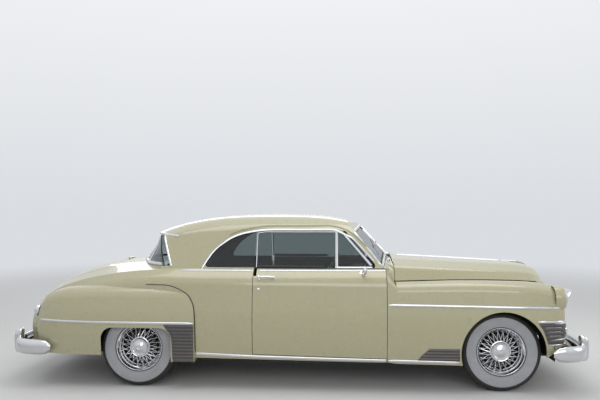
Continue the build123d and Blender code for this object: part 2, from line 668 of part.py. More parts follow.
# Windscreen, rear window and side panes
pane_bands = screen_envelope(GLASS_INSET) - screen_envelope(GLASS_INSET + GLASS)
with BuildPart() as windscreen:
    for side in (1, -1):
        outline = [(side * y, z) for y, z in SCREEN_WINDOW]
        add(pane_bands & front_prism(shrunk(outline, SEAT_GAP), 40, 400, 1200))
write(windscreen, "windscreen")
with BuildPart() as rear_window:
    add((rear_envelope(GLASS_INSET) - rear_envelope(GLASS_INSET + GLASS)) & roof_outer
        & side_prism(shrunk(REAR_WINDOW, SEAT_GAP), 12, -1000, 1000))
    add(Pos(0, 0, SEAT_GAP) * body_outer, mode=Mode.SUBTRACT)
write(rear_window, "rear_window")
side_glass = (inner_loft(roof_rows, ROOF_FILLETS, SIDE_INSET, GLASS_INSET)
              - inner_loft(roof_rows, ROOF_FILLETS, SIDE_INSET, GLASS_INSET + GLASS))
for side, label in ((1, "left"), (-1, "right")):
    near, far = sorted((side * 400, side * 1100))
    with BuildPart() as door_glass:
        add(side_glass & side_prism(DOOR_PANE, (30, 75, 30, 12, 12), near, far))
    write(door_glass, f"door_glass_{label}")
    with BuildPart() as quarter_glass:
        add(side_glass & side_prism(SIDE_WINDOW, SIDE_WINDOW_FILLETS, near, far)
            & block(-900, DOOR_REAR_X - 2, near, far, BELT_Z + 10.3, 1500))
    write(quarter_glass, f"quarter_glass_{label}")

# Ladder frame
with BuildPart() as frame:
    for y in (RAIL_Y, -RAIL_Y):
        add(side_prism(RAIL_SIDE, 0, y - RAIL_WIDTH / 2, y + RAIL_WIDTH / 2))
    for x, z, depth in CROSS_MEMBERS:
        add(block(x - 45, x + 45, -RAIL_Y, RAIL_Y, z, z + depth))
write(frame, "frame")

# Floor, bulkheads' lower part and boot floor
with BuildPart() as floor_pan:
    add(cabin_space & side_prism(FLOOR_SIDE, 0, -1000, 1000))
    add([
        block(-3000, -1040, 599.7, 1100, 0, 1200),
        block(-3000, -1040, -1100, -599.7, 0, 1200),
        block(-1041, 901, 802, 1100, 0, 1200),
        block(-1041, 901, -1100, -802, 0, 1200),
        block(849.7, 901, 699.7, 1100, 0, 1200),
        block(849.7, 901, -1100, -699.7, 0, 1200),
    ], mode=Mode.SUBTRACT)
    add(block(900, 912, -688, 688, FLOOR_Z, 930))
    add(block(900, 912, -590, 590, FLOOR_Z, GREENHOUSE_FOOT_Z - SEAT_GAP))
    add(block(860, 905, -665, 665, FLOOR_Z, FLOOR_Z + 14))
    for y in (-APRON_Y, APRON_Y):
        add(block(912, 2380, y - 6, y + 6, 470.3, 860))
write(floor_pan, "floor_pan")

# Grille: bars across the opening, the thick one wrapping on to the fenders
with BuildPart() as grille:
    add(block(2395, 2407, -655, 655, 478, 632))
    add(block(2385, 2397, -380, 380, 632, 862))
    for z, half, height in GRILLE_BARS:
        add(block(2404, 2404 + GRILLE_BAR_DEPTH, -half, half, z - height / 2, z + height / 2))
    for y in GRILLE_POSTS:
        add(block(2404, 2440, y - 5, y + 5, 480, 862 if abs(y) < 380 else 632))
write(grille, "grille")


# Bumpers: a bent bar with two overriders, on irons from the frame
for label, plan, sign, irons in (
    ("front_bumper", FRONT_BUMPER_PLAN, 1, (2450.3, 270, 330)),
    ("rear_bumper", REAR_BUMPER_PLAN, -1, (-2470.3, 302, 345)),
):
    tip = sign * LENGTH / 2
    with BuildPart() as bumper:
        with BuildSketch(Plane.XY.offset(BUMPER_Z)):
            with BuildLine():
                half = [(tip - sign * back, y) for back, y in plan[1:]]
                path = [*reversed(half), *[(x, -y) for x, y in half]]
                FilletPolyline(*path, radius=[160, 200, 300, 300, 200, 160][: len(path) - 2])
            trace(line_width=BUMPER_DEPTH)
        extrude(amount=BUMPER_HEIGHT)
        for y in (GUARD_Y, -GUARD_Y):
            with Locations((tip - sign * 48, y, GUARD_FOOT_Z)):
                Box(96, GUARD_WIDTH, GUARD_TOP_Z - GUARD_FOOT_Z,
                    align=(Align.CENTER, Align.CENTER, Align.MIN))
        for y in (RAIL_Y, -RAIL_Y):
            start, low, high = irons
            near, far = sorted((start, tip - sign * 50))
            add(block(near, far, y - 20, y + 20, low, high))
    write(bumper, label)

# Headlamps in the fender noses, with their lenses, and the tail lamps
with BuildPart() as headlamps:
    for y in (LAMP_Y, -LAMP_Y):
        add(rod((2385, y, LAMP_Z), (2478, y, LAMP_Z), LAMP_R - SEAT_GAP))
        add(rod((2440, y, LAMP_Z), (2500, y, LAMP_Z), LAMP_R - 24), mode=Mode.SUBTRACT)
write(headlamps, "headlamps")
with BuildPart() as lamp_lenses:
    for y in (LAMP_Y, -LAMP_Y):
        add(rod((2466, y, LAMP_Z), (2474, y, LAMP_Z), LAMP_R - 24 - SEAT_GAP))
write(lamp_lenses, "lamp_lenses")
with BuildPart() as tail_lamps:
    for y in (TAIL_LAMP_Y, -TAIL_LAMP_Y):
        add(rod((-2404, y, TAIL_LAMP_Z), (-2452, y, TAIL_LAMP_Z), TAIL_LAMP_R - SEAT_GAP))
write(tail_lamps, "tail_lamps")

# Wheels and tyres, each about its own axle
for name, x, y, side in (
    ("fl", FRONT_AXLE_X, FRONT_TRACK / 2, 1),
    ("fr", FRONT_AXLE_X, -FRONT_TRACK / 2, -1),
    ("rl", REAR_AXLE_X, REAR_TRACK / 2, 1),
    ("rr", REAR_AXLE_X, -REAR_TRACK / 2, -1),
):
    axle = Axis((x, y, TYRE_R), (0, 1, 0))
    middle = Plane((x, y, TYRE_R))
    with BuildPart() as tyre:
        stations = [*TYRE_SECTION, *[(-across, out) for across, out in reversed(TYRE_SECTION)]]
        for across, out in stations:
            with BuildSketch(Plane((x, y + across, TYRE_R), x_dir=(1, 0, 0), z_dir=(0, 1, 0))):
                RegularPolygon(out, TYRE_SIDES, major_radius=False, rotation=180 / TYRE_SIDES)
        loft(ruled=True)
        with BuildSketch(Plane((x, y - TYRE_WIDTH / 2, TYRE_R), x_dir=(1, 0, 0), z_dir=(0, 1, 0))):
            RegularPolygon(TYRE_BORE_R, TYRE_SIDES, major_radius=False, rotation=180 / TYRE_SIDES)
        extrude(amount=TYRE_WIDTH, mode=Mode.SUBTRACT)
    write(tyre, f"tyre_{name}")
    with BuildPart() as wheel:
        for section in (RIM_SECTION, HUB_SECTION):
            with BuildSketch(middle):
                with BuildLine():
                    Polyline(*[(out, across * side) for across, out in section], close=True)
                make_face()
            revolve(axis=axle)
        for number in range(SPOKES):
            turn = radians(360 / SPOKES * number)
            across, low = ((46, 44), (2, 70))[number % 2]
            foot = (x + low * cos(turn), y + side * across, TYRE_R + low * sin(turn))
            rim = (x + 184 * cos(turn), y + side * 6, TYRE_R + 184 * sin(turn))
            add(bar(foot, rim, 5))
        for number in range(STUD_COUNT):
            turn = radians(360 / STUD_COUNT * number)
            hole_x, hole_z = x + STUD_PCD / 2 * cos(turn), TYRE_R + STUD_PCD / 2 * sin(turn)
            add(rod((hole_x, y - side * 12, hole_z), (hole_x, y + side * 16, hole_z), STUD_HOLE_R),
                mode=Mode.SUBTRACT)
    write(wheel, f"wheel_{name}")

# Front suspension: towers and arms from the frame to the kingpins
with BuildPart() as front_suspension:
    add(block(FRONT_AXLE_X - 60, FRONT_AXLE_X + 60, SEAT_GAP - RAIL_IN, RAIL_IN - SEAT_GAP, 240, 300))
    for side in (1, -1):
        near, far = sorted((side * (RAIL_IN + 2), side * (RAIL_OUT - 2)))
        add(block(FRONT_AXLE_X - 50, FRONT_AXLE_X + 50, near, far, 330, 470))
        near, far = sorted((side * (RAIL_IN + 2), side * KINGPIN_Y))
        add(block(FRONT_AXLE_X - 28, FRONT_AXLE_X + 28, near, far, 440, 460))
        near, far = sorted((side * (RAIL_OUT + SEAT_GAP), side * KINGPIN_Y))
        add(block(FRONT_AXLE_X - 28, FRONT_AXLE_X + 28, near, far, 262, 282))
        for low, high in ((252, 290), (430, 468)):
            add(rod((FRONT_AXLE_X, side * KINGPIN_Y, low), (FRONT_AXLE_X, side * KINGPIN_Y, high), 22))
            add(rod((FRONT_AXLE_X, side * KINGPIN_Y, low - 5), (FRONT_AXLE_X, side * KINGPIN_Y, high + 5),
                    KINGPIN_R + RUN_GAP), mode=Mode.SUBTRACT)
write(front_suspension, "front_suspension")

# Knuckles: kingpin, spindle, backing plate and steering arm
for side, label in ((1, "knuckle_left"), (-1, "knuckle_right")):
    pin_y = side * KINGPIN_Y
    wheel_y = side * FRONT_TRACK / 2
    with BuildPart() as knuckle:
        add(rod((FRONT_AXLE_X, pin_y, STEER_ARM_Z), (FRONT_AXLE_X, pin_y, 466), KINGPIN_R))
        add(rod((FRONT_AXLE_X, pin_y, 290.3), (FRONT_AXLE_X, pin_y, 429.7), 24))
        add(rod((FRONT_AXLE_X, pin_y, TYRE_R), (FRONT_AXLE_X, wheel_y + side * 60, TYRE_R), SPINDLE_R))
        add(rod((FRONT_AXLE_X, wheel_y - side * 56, TYRE_R), (FRONT_AXLE_X, wheel_y - side * 46, TYRE_R),
                120))
        eye = (FRONT_AXLE_X - STEER_ARM, pin_y - side * STEER_ARM_IN)
        add(rod((*eye, STEER_ARM_Z), (*eye, STEER_ARM_Z + 16), 20))
        with BuildSketch(Plane.XY.offset(STEER_ARM_Z)):
            with BuildLine():
                Line((FRONT_AXLE_X, pin_y), eye)
            trace(line_width=26)
        extrude(amount=16)
    write(knuckle, label)

# Tie rod under the steering arms
with BuildPart() as tie_rod:
    for side in (1, -1):
        eye = (FRONT_AXLE_X - STEER_ARM, side * (KINGPIN_Y - STEER_ARM_IN))
        add(rod((*eye, STEER_ARM_Z - 22), (*eye, STEER_ARM_Z - SEAT_GAP), 26))
    add(crossbar(FRONT_AXLE_X - STEER_ARM, STEER_ARM_Z - 14, STEER_ARM_IN - KINGPIN_Y,
                 KINGPIN_Y - STEER_ARM_IN, 10))
write(tie_rod, "tie_rod")

# Rear axle with its springs, differential and propeller shaft
with BuildPart() as rear_axle:
    stub = REAR_TRACK / 2
    add(crossbar(REAR_AXLE_X, TYRE_R, -stub + 46, stub - 46, 40))
    add(crossbar(REAR_AXLE_X, TYRE_R, -stub - 60, stub + 60, SPINDLE_R))
    for side in (1, -1):
        near, far = sorted((side * (stub - 56), side * (stub - 46)))
        add(crossbar(REAR_AXLE_X, TYRE_R, near, far, 120))
        near, far = sorted((side * (RAIL_OUT + SEAT_GAP), side * 510))
        spring_near, spring_far = sorted((side * 452, side * 510))
        add(block(-2060, -860, spring_near, spring_far, 240, 278))
        add(block(-900, -860, near, far, 200, 278))
        add(block(-2060, -2020, near, far, 240, 390))
        add(block(REAR_AXLE_X - 40, REAR_AXLE_X + 40, spring_near, spring_far, 270, 350))
    with BuildSketch(Plane.XZ):
        with BuildLine():
            cover = Line((REAR_AXLE_X - 95, TYRE_R), (REAR_AXLE_X - 95, TYRE_R + 60))
            Polyline(cover @ 1, (REAR_AXLE_X - 55, TYRE_R + CARRIER_R),
                     (REAR_AXLE_X + 30, TYRE_R + CARRIER_R), (REAR_AXLE_X + 110, TYRE_R + 75),
                     (REAR_AXLE_X + 110, TYRE_R), cover @ 0)
        make_face()
    revolve(axis=Axis((0, 0, TYRE_R), (1, 0, 0)))
    add(rod((REAR_AXLE_X + 60, 0, PINION_Z), (GEARBOX_X - 60, 0, SHAFT_Z), 28))
    add(rod((GEARBOX_X - 90, 0, SHAFT_Z), (GEARBOX_X - SEAT_GAP, 0, SHAFT_Z), 40))
write(rear_axle, "rear_axle")

# Engine as a plain block with its gearbox, and the radiator
with BuildPart() as engine:
    add(block(1150, 1850, -230, 230, 330, 880))
    add(block(GEARBOX_X, 1250, -90, 90, 212, 284))
    add(block(1150, 1400, -90, 90, 212, 400))
write(engine, "engine")
with BuildPart() as radiator:
    add(block(2250, 2310, -330, 330, 330.3, 900))
write(radiator, "radiator")

# Fuel tank
with BuildPart() as fuel_tank:
    add(block(-2370, -1955, -340, 340, 345, 505.7))
    fillet(fuel_tank.edges().filter_by(Axis.Y), 30)
write(fuel_tank, "fuel_tank")

# Seats, dashboard, steering column and wheel
with BuildPart() as front_seat:
    add(side_prism(FRONT_SEAT, FRONT_SEAT_FILLETS, -660, 660))
write(front_seat, "front_seat")
with BuildPart() as rear_seat:
    add(side_prism(REAR_SEAT, REAR_SEAT_FILLETS, -590, 590))
write(rear_seat, "rear_seat")
with BuildPart() as dashboard:
    add(side_prism(DASHBOARD, 12, -DASHBOARD_HALF, DASHBOARD_HALF))
write(dashboard, "dashboard")

hub = Vector(*STEERING_HUB)
down = (Vector(*COLUMN_FOOT) - hub).normalized()
with BuildPart() as steering_column:
    add(rod(tuple(hub + down * 20), COLUMN_FOOT, 24))
    add(block(COLUMN_FOOT[0] - 8, 899.7, 350, 450, COLUMN_FOOT[2] - 50, COLUMN_FOOT[2] + 30))
write(steering_column, "steering_column")
with BuildPart() as steering_wheel:
    with Locations(Plane(hub, z_dir=down).location):
        Torus(STEERING_WHEEL_R, 12)
        Cylinder(34, 39.4)
        Box(2 * STEERING_WHEEL_R, 24, 10)
        Box(24, 2 * STEERING_WHEEL_R, 10)
write(steering_wheel, "steering_wheel")
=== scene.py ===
"""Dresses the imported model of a 1950s two-door hardtop and sets the studio round it."""
import json
import math

import bpy
from bpy.props import FloatProperty, FloatVectorProperty, IntProperty, PointerProperty
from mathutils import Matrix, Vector
from mathutils.bvhtree import BVHTree

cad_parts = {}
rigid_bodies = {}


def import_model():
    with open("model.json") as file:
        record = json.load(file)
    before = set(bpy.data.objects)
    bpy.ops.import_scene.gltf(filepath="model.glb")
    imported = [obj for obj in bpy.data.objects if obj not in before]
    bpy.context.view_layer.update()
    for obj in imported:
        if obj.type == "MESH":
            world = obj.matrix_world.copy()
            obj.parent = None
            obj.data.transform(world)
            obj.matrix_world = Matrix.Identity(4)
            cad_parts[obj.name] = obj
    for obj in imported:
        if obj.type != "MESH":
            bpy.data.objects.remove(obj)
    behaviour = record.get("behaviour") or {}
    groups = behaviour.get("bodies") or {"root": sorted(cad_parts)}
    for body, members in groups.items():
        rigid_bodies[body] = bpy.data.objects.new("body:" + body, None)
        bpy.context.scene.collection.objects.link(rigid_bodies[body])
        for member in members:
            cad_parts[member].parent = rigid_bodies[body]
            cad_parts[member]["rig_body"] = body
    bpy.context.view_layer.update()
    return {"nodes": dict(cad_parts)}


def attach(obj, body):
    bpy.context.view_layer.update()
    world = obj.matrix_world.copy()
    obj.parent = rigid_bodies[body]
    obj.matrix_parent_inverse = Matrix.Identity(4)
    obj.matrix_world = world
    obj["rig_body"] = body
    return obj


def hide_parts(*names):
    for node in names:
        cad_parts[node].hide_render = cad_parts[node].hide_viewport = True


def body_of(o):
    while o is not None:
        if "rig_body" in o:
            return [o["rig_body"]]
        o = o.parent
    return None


bl_info = {
    "name": "Fifties Hardtop Dresser",
    "version": (1, 0, 0),
    "blender": (4, 5, 0),
    "location": "View3D > Sidebar > Hardtop",
    "description": "Adds paint, chrome, wheels, trim and cabin to the packed car",
    "category": "Object",
}

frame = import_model()

SIDES = ((1, "left"), (-1, "right"))
AXLE_X = (1.902, -1.438)
WHEEL_SPOTS = (
    ("fl", AXLE_X[0], 0.724, 1),
    ("fr", AXLE_X[0], -0.724, -1),
    ("rl", AXLE_X[1], 0.757, 1),
    ("rr", AXLE_X[1], -0.757, -1),
)
TYRE_R = 0.36
FORWARD, LEFT, UP = Vector((1, 0, 0)), Vector((0, 1, 0)), Vector((0, 0, 1))

# Where rays start: ahead of the car, ahead of its screen, beside it, above it and inside a door
AHEAD, SCREEN_AHEAD, BESIDE, ABOVE, WITHIN = 3.0, 2.2, 1.4, 1.6, 0.30
MERGE = 0.00002
PANEL_ANGLE = 28.0


# Sizes and colours


def linear(red, green, blue):
    """A colour from its 0-255 screen values."""
    return tuple(((v / 255 + 0.055) / 1.055) ** 2.4 if v > 10 else v / 255 / 12.92
                 for v in (red, green, blue))


class PaintSettings(bpy.types.PropertyGroup):
    body: FloatVectorProperty(name="Body paint", description="Colour of the painted panels", subtype="COLOR",
                              default=linear(178, 174, 140), min=0, max=1)
    guard: FloatVectorProperty(name="Guard paint", description="Dark grey of the ribbed stone guards",
                               subtype="COLOR", default=linear(78, 76, 78), min=0, max=1)
    white: FloatVectorProperty(name="White wall", description="Rubber of the white side walls",
                               subtype="COLOR", default=linear(172, 174, 180), min=0, max=1)
    seat: FloatVectorProperty(name="Seat cloth", description="Cloth on the seats", subtype="COLOR",
                              default=linear(62, 58, 54), min=0, max=1)
    hide: FloatVectorProperty(name="Cabin hide", description="Leather on the seat bases and door cards",
                              subtype="COLOR", default=linear(48, 42, 38), min=0, max=1)


class TrimSettings(bpy.types.PropertyGroup):
    strip: FloatProperty(name="Side strip", description="Height of the side mouldings", default=0.024,
                         unit="LENGTH")
    sill: FloatProperty(name="Sill strip", description="Height of the moulding under the doors",
                        default=0.034, unit="LENGTH")
    window: FloatProperty(name="Window frame", description="Width of the side window frames", default=0.02,
                          unit="LENGTH")
    screen: FloatProperty(name="Screen frame", description="Width of the frames round both screens",
                          default=0.026, unit="LENGTH")


class WheelSettings(bpy.types.PropertyGroup):
    white_in: FloatProperty(name="White inner radius", description="Where the white wall starts",
                            default=0.226, unit="LENGTH")
    white_out: FloatProperty(name="White outer radius", description="Where the white wall ends",
                             default=0.318, unit="LENGTH")
    spokes: IntProperty(name="Spokes", description="Spokes in each of a wheel's two rows", default=22, min=8)


class StudioSettings(bpy.types.PropertyGroup):
    height: FloatProperty(name="Camera height", description="Camera above the floor", default=1.63,
                          unit="LENGTH")
    away: FloatProperty(name="Camera distance", description="Camera from the car's centreline", default=6.17,
                        unit="LENGTH")
    along: FloatProperty(name="Camera along", description="Camera ahead of the car's middle", default=0.41,
                         unit="LENGTH")
    lens: FloatProperty(name="Lens", description="Focal length in millimetres", default=34.8)
    turn: FloatProperty(name="Camera turn", description="Turn towards the tail", default=math.radians(3.6),
                        subtype="ANGLE")


# Modelling helpers


def deselect():
    """Leaves edit mode and selects nothing."""
    if bpy.context.mode != "OBJECT":
        bpy.ops.object.mode_set(mode="OBJECT")
    bpy.ops.object.select_all(action="DESELECT")


def made(name):
    """The object that an operator has just made, named together with its mesh."""
    piece = bpy.context.object
    piece.name = name
    piece.data.name = name
    return piece


def take(*pieces):
    """Selects these pieces alone, the first one active."""
    deselect()
    for piece in pieces:
        piece.select_set(True)
    bpy.context.view_layer.objects.active = pieces[0]


def edit(piece):
    """Opens the piece in edit mode with all of it selected."""
    take(piece)
    bpy.ops.object.mode_set(mode="EDIT")
    bpy.ops.mesh.select_mode(type="VERT")
    bpy.ops.mesh.select_all(action="SELECT")


def leave():
    """Goes back from edit mode to object mode."""
    bpy.ops.object.mode_set(mode="OBJECT")


def settle(piece):
    """Leaves the piece's object at the origin, with its place in its mesh."""
    take(piece)
    bpy.ops.object.transform_apply(location=True, rotation=True, scale=True)


def soften(piece, angle=35.0):
    """Shades the piece smooth up to an angle in degrees."""
    take(piece)
    bpy.ops.object.shade_smooth_by_angle(angle=math.radians(angle))


def modify(piece, kind, **values):
    """Adds a modifier, sets its values and applies it."""
    take(piece)
    modifier = piece.modifiers.new(kind.title(), kind)
    for key, value in values.items():
        setattr(modifier, key, value)
    bpy.ops.object.modifier_apply(modifier=modifier.name)


def turned_out(piece):
    """Merges doubles and points every face outwards."""
    edit(piece)
    bpy.ops.mesh.remove_doubles(threshold=MERGE)
    bpy.ops.mesh.normals_make_consistent(inside=False)
    leave()


def thickened(piece, thickness, angle=35.0):
    """Gives an open sheet its wall and shades it smooth."""
    modify(piece, "SOLIDIFY", thickness=thickness, offset=0)
    turned_out(piece)
    soften(piece, angle)


def body_of_node(node):
    """The one body that a CAD node rides on."""
    body = body_of(frame["nodes"][node])
    return body if isinstance(body, str) else body[0]


def loft(name, rows, ring=False, ends=True, angle=35.0):
    """A grid laid over rows of points, closed into a solid where each row is a ring."""
    across = len(rows[0]) + (1 if ring else 0)
    deselect()
    bpy.ops.mesh.primitive_grid_add(x_subdivisions=across - 1, y_subdivisions=len(rows) - 1, size=1)
    piece = made(name)
    places = []
    for row in rows:
        for point in ([*row, row[0]] if ring else row):
            places.extend(point)
    piece.data.vertices.foreach_set("co", places)
    piece.data.update()
    if ring:
        edit(piece)
        bpy.ops.mesh.remove_doubles(threshold=0.00001)
        if ends:
            bpy.ops.mesh.fill_holes(sides=0)
        bpy.ops.mesh.normals_make_consistent(inside=False)
        leave()
    soften(piece, angle)
    return piece


def spun(name, profile, centre, axis, steps=64, angle=35.0):
    """A closed profile of (along, out) points spun round an axis through the centre."""
    axis, centre = Vector(axis).normalized(), Vector(centre)
    side = axis.orthogonal().normalized()
    deselect()
    bpy.ops.mesh.primitive_circle_add(vertices=len(profile), radius=1, fill_type="NOTHING")
    piece = made(name)
    for vertex, (along, out) in zip(piece.data.vertices, profile):
        vertex.co = centre + axis * along + side * out
    edit(piece)
    bpy.ops.mesh.spin(steps=steps, angle=math.tau, center=centre, axis=axis)
    bpy.ops.mesh.select_all(action="SELECT")
    bpy.ops.mesh.remove_doubles(threshold=MERGE)
    bpy.ops.mesh.dissolve_degenerate(threshold=0.00001)
    bpy.ops.mesh.normals_make_consistent(inside=False)
    leave()
    soften(piece, angle)
    return piece


def around(piece, centre, axis, count):
    """Repeats the piece's mesh round an axis."""
    edit(piece)
    bpy.ops.mesh.spin(steps=count, dupli=True, angle=math.tau, center=centre, axis=axis)
    bpy.ops.mesh.select_all(action="SELECT")
    bpy.ops.mesh.remove_doubles(threshold=0.000005)
    leave()


def joined(name, *pieces):
    """These pieces as one, under a new name."""
    take(*pieces)
    bpy.ops.object.join()
    return made(name)


def panel_copy(node, name):
    """A merged, smoothly shaded copy that stands in a CAD node's place."""
    deselect()
    piece = bpy.data.objects.new(name, frame["nodes"][node].data.copy())
    bpy.context.collection.objects.link(piece)
    edit(piece)
    bpy.ops.mesh.remove_doubles(threshold=MERGE)
    leave()
    take(piece)
    if piece.data.has_custom_normals:
        bpy.ops.mesh.customdata_custom_splitnormals_clear()
    soften(piece, PANEL_ANGLE)
    modify(piece, "WEIGHTED_NORMAL", keep_sharp=True, weight=80)
    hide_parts(node)
    return piece


_trees = {}


def tree(nodes):
    """A search tree over these CAD nodes' faces."""
    if nodes not in _trees:
        places, faces = [], []
        for node in nodes:
            mesh = frame["nodes"][node].data
            start = len(places)
            places.extend(v.co.copy() for v in mesh.vertices)
            faces.extend([start + i for i in f.vertices] for f in mesh.polygons)
        _trees[nodes] = BVHTree.FromPolygons(places, faces)
    return _trees[nodes]


def cast(nodes, start, toward):
    """The first point and outward normal that a ray meets on these nodes."""
    start, toward = Vector(start), Vector(toward).normalized()
    point, normal, _, _ = tree(nodes).ray_cast(start, toward)
    if point is None:
        raise RuntimeError(f"no surface on {nodes} from {tuple(start)}")
    if normal.dot(toward) > 0:
        normal = -normal
    return point, normal


def hits(nodes, rays):
    """Points and normals where these (start, toward) rays meet the nodes, without those that miss."""
    return [cast(nodes, start, toward) for start, toward in rays
            if tree(nodes).ray_cast(Vector(start), Vector(toward).normalized())[0] is not None]


def on_side(nodes, side, line):
    """Points and normals on the car's side at these (x, z) places."""
    return hits(nodes, [((x, side * BESIDE, z), (0, -side, 0)) for x, z in line])


def circle(count):
    """Angles that share a full turn out evenly."""
    return [math.tau * n / count for n in range(count)]


def divided(line, step):
    """The line with points added so that none are further apart than the step."""
    result = [Vector(line[0])]
    for start, end in zip(line, line[1:]):
        start, end = Vector(start), Vector(end)
        count = max(1, math.ceil((end - start).length / step))
        result.extend(start.lerp(end, n / count) for n in range(1, count + 1))
    return [tuple(p) for p in result]


def rounded(line, radius, steps=6):
    """The line with its inner corners cut to arcs."""
    result = [Vector(line[0])]
    for before, here, after in zip(line, line[1:], line[2:]):
        before, here, after = Vector(before), Vector(here), Vector(after)
        a, b = before - here, after - here
        reach = min(radius, 0.48 * a.length, 0.48 * b.length)
        start, end = here + a.normalized() * reach, here + b.normalized() * reach
        for number in range(steps + 1):
            t = number / steps
            result.append(start.lerp(here, t).lerp(here.lerp(end, t), t))
    result.append(Vector(line[-1]))
    return [tuple(p) for p in result]


def crowned(width, proud, sunk=0.003, points=7):
    """Ring section of a moulding: (across, out) points, domed outside and sunk at its foot."""
    dome = [(width / 2 * math.sin(math.radians(a)), proud * math.cos(math.radians(a)) ** 0.7)
            for a in [-86 + 172 * n / (points - 1) for n in range(points)]]
    return [*dome, (width / 2, -sunk), (-width / 2, -sunk)]


def moulding(name, spots, section, taper=0.0, angle=50.0):
    """A bar of a given ring section along spots, each a point and its outward normal."""
    rows = []
    count = len(spots)
    lengths = [0.0]
    for (a, _), (b, _) in zip(spots, spots[1:]):
        lengths.append(lengths[-1] + (b - a).length)
    for number, (point, normal) in enumerate(spots):
        ahead = spots[min(number + 1, count - 1)][0] - spots[max(number - 1, 0)][0]
        across = ahead.cross(normal).normalized()
        out = across.cross(ahead).normalized()
        if out.dot(normal) < 0:
            out = -out
        share = 1.0
        if taper:
            near = min(lengths[number], lengths[-1] - lengths[number])
            share = 0.35 + 0.65 * math.sqrt(min(1.0, near / taper)) if near < taper else 1.0
        rows.append([point + across * a * share + out * o * (share if o > 0 else 1) for a, o in section])
    return loft(name, rows, ring=True, angle=angle)


def plain_box(name, low, high, bevel, segments=2):
    """A box by its corners with its edges rounded."""
    low, high = Vector(low), Vector(high)
    deselect()
    bpy.ops.mesh.primitive_cube_add(size=1, location=(low + high) / 2, scale=high - low)
    piece = made(name)
    settle(piece)
    edit(piece)
    bpy.ops.mesh.bevel(offset=bevel, segments=segments, affect="EDGES")
    leave()
    soften(piece)
    return piece


def rod(name, start, end, radius, sides=12, bevel=0.0):
    """A straight round bar between two points."""
    start, end = Vector(start), Vector(end)
    run = end - start
    deselect()
    bpy.ops.mesh.primitive_cylinder_add(vertices=sides, radius=radius, depth=run.length,
                                        location=(start + end) / 2,
                                        rotation=run.to_track_quat("Z", "Y").to_euler())
    piece = made(name)
    settle(piece)
    if bevel:
        modify(piece, "BEVEL", width=bevel, segments=2, limit_method="ANGLE")
    soften(piece, 40)
    return piece


def tube(name, path, radius, bend):
    """A round tube along a path with its corners bent to arcs."""
    line = [Vector(p) for p in rounded(path, bend, 8)]
    side = (line[1] - line[0]).orthogonal().normalized()
    rows = []
    for number, here in enumerate(line):
        run = (line[min(number + 1, len(line) - 1)] - line[max(number - 1, 0)]).normalized()
        side = (side - run * side.dot(run)).normalized()
        other = run.cross(side)
        rows.append([here + side * radius * math.cos(a) + other * radius * math.sin(a)
                     for a in circle(16)])
    return loft(name, rows, ring=True)


# Shader groups and finishes


def group(name, inputs, outputs, build):
    """A shader node group, built once."""
    if name in bpy.data.node_groups:
        return bpy.data.node_groups[name]
    network = bpy.data.node_groups.new(name, "ShaderNodeTree")
    for label, value in inputs:
        socket = network.interface.new_socket(name=label, in_out="INPUT", socket_type="NodeSocketFloat")
        socket.default_value = value
    for label, kind in outputs:
        network.interface.new_socket(name=label, in_out="OUTPUT", socket_type=kind)
    nodes = network.nodes
    build(nodes, network.links, nodes.new("NodeGroupInput"), nodes.new("NodeGroupOutput"))
    return network


def ranged(nodes, links, source, low, high, out_low=0.0, out_high=1.0):
    """A value carried from one range to another and kept inside it."""
    node = nodes.new("ShaderNodeMapRange")
    links.new(source, node.inputs["Value"])
    for label, value in (("From Min", low), ("From Max", high), ("To Min", out_low), ("To Max", out_high)):
        node.inputs[label].default_value = value
    return node.outputs["Result"]


def maths(nodes, links, operation, first, second):
    """Two sockets or numbers put through one sum."""
    node = nodes.new("ShaderNodeMath")
    node.operation = operation
    for socket, value in zip(node.inputs, (first, second)):
        if isinstance(value, (int, float)):
            socket.default_value = value
        else:
            links.new(value, socket)
    return node.outputs[0]


def placed(nodes, links, kind):
    """A texture node that reads Object coordinates."""
    place, texture = nodes.new("ShaderNodeTexCoord"), nodes.new(kind)
    links.new(place.outputs["Object"], texture.inputs["Vector"])
    return texture


def masked(nodes, links, value, end):
    """Hands a value out as the mask, kept between 0 and 1."""
    clamp = nodes.new("ShaderNodeClamp")
    links.new(value, clamp.inputs["Value"])
    links.new(clamp.outputs[0], end.inputs["Mask"])


def bumped(nodes, links, height, distance, start, end):
    """Hands out the normal of a surface that is raised by a height."""
    bump = nodes.new("ShaderNodeBump")
    bump.inputs["Distance"].default_value = distance
    links.new(start.outputs["Depth"], bump.inputs["Strength"])
    links.new(height, bump.inputs["Height"])
    links.new(bump.outputs["Normal"], end.inputs["Normal"])


def build_mottle(nodes, links, start, end):
    """Soft patches."""
    noise = placed(nodes, links, "ShaderNodeTexNoise")
    noise.inputs["Detail"].default_value = 4
    links.new(start.outputs["Scale"], noise.inputs["Scale"])
    spread = maths(nodes, links, "MULTIPLY", maths(nodes, links, "SUBTRACT", noise.outputs["Fac"], 0.5),
                   start.outputs["Contrast"])
    masked(nodes, links, maths(nodes, links, "ADD", spread, 0.5), end)


def build_road_dust_and_reflection(nodes, links, start, end):
    """A mask that grows downwards from a height: road dust on the guards, a painted reflection of the road on
    the paint.
    """
    place = nodes.new("ShaderNodeTexCoord")
    parts = nodes.new("ShaderNodeSeparateXYZ")
    links.new(place.outputs["Object"], parts.inputs[0])
    noise = placed(nodes, links, "ShaderNodeTexNoise")
    noise.inputs["Detail"].default_value = 5
    noise.inputs["Scale"].default_value = 9
    below = maths(nodes, links, "SUBTRACT", start.outputs["Top"], parts.outputs["Z"])
    height = maths(nodes, links, "DIVIDE", below, start.outputs["Reach"])
    cloud = maths(nodes, links, "ADD", noise.outputs["Fac"], 0.25)
    masked(nodes, links, maths(nodes, links, "MULTIPLY", height, cloud), end)


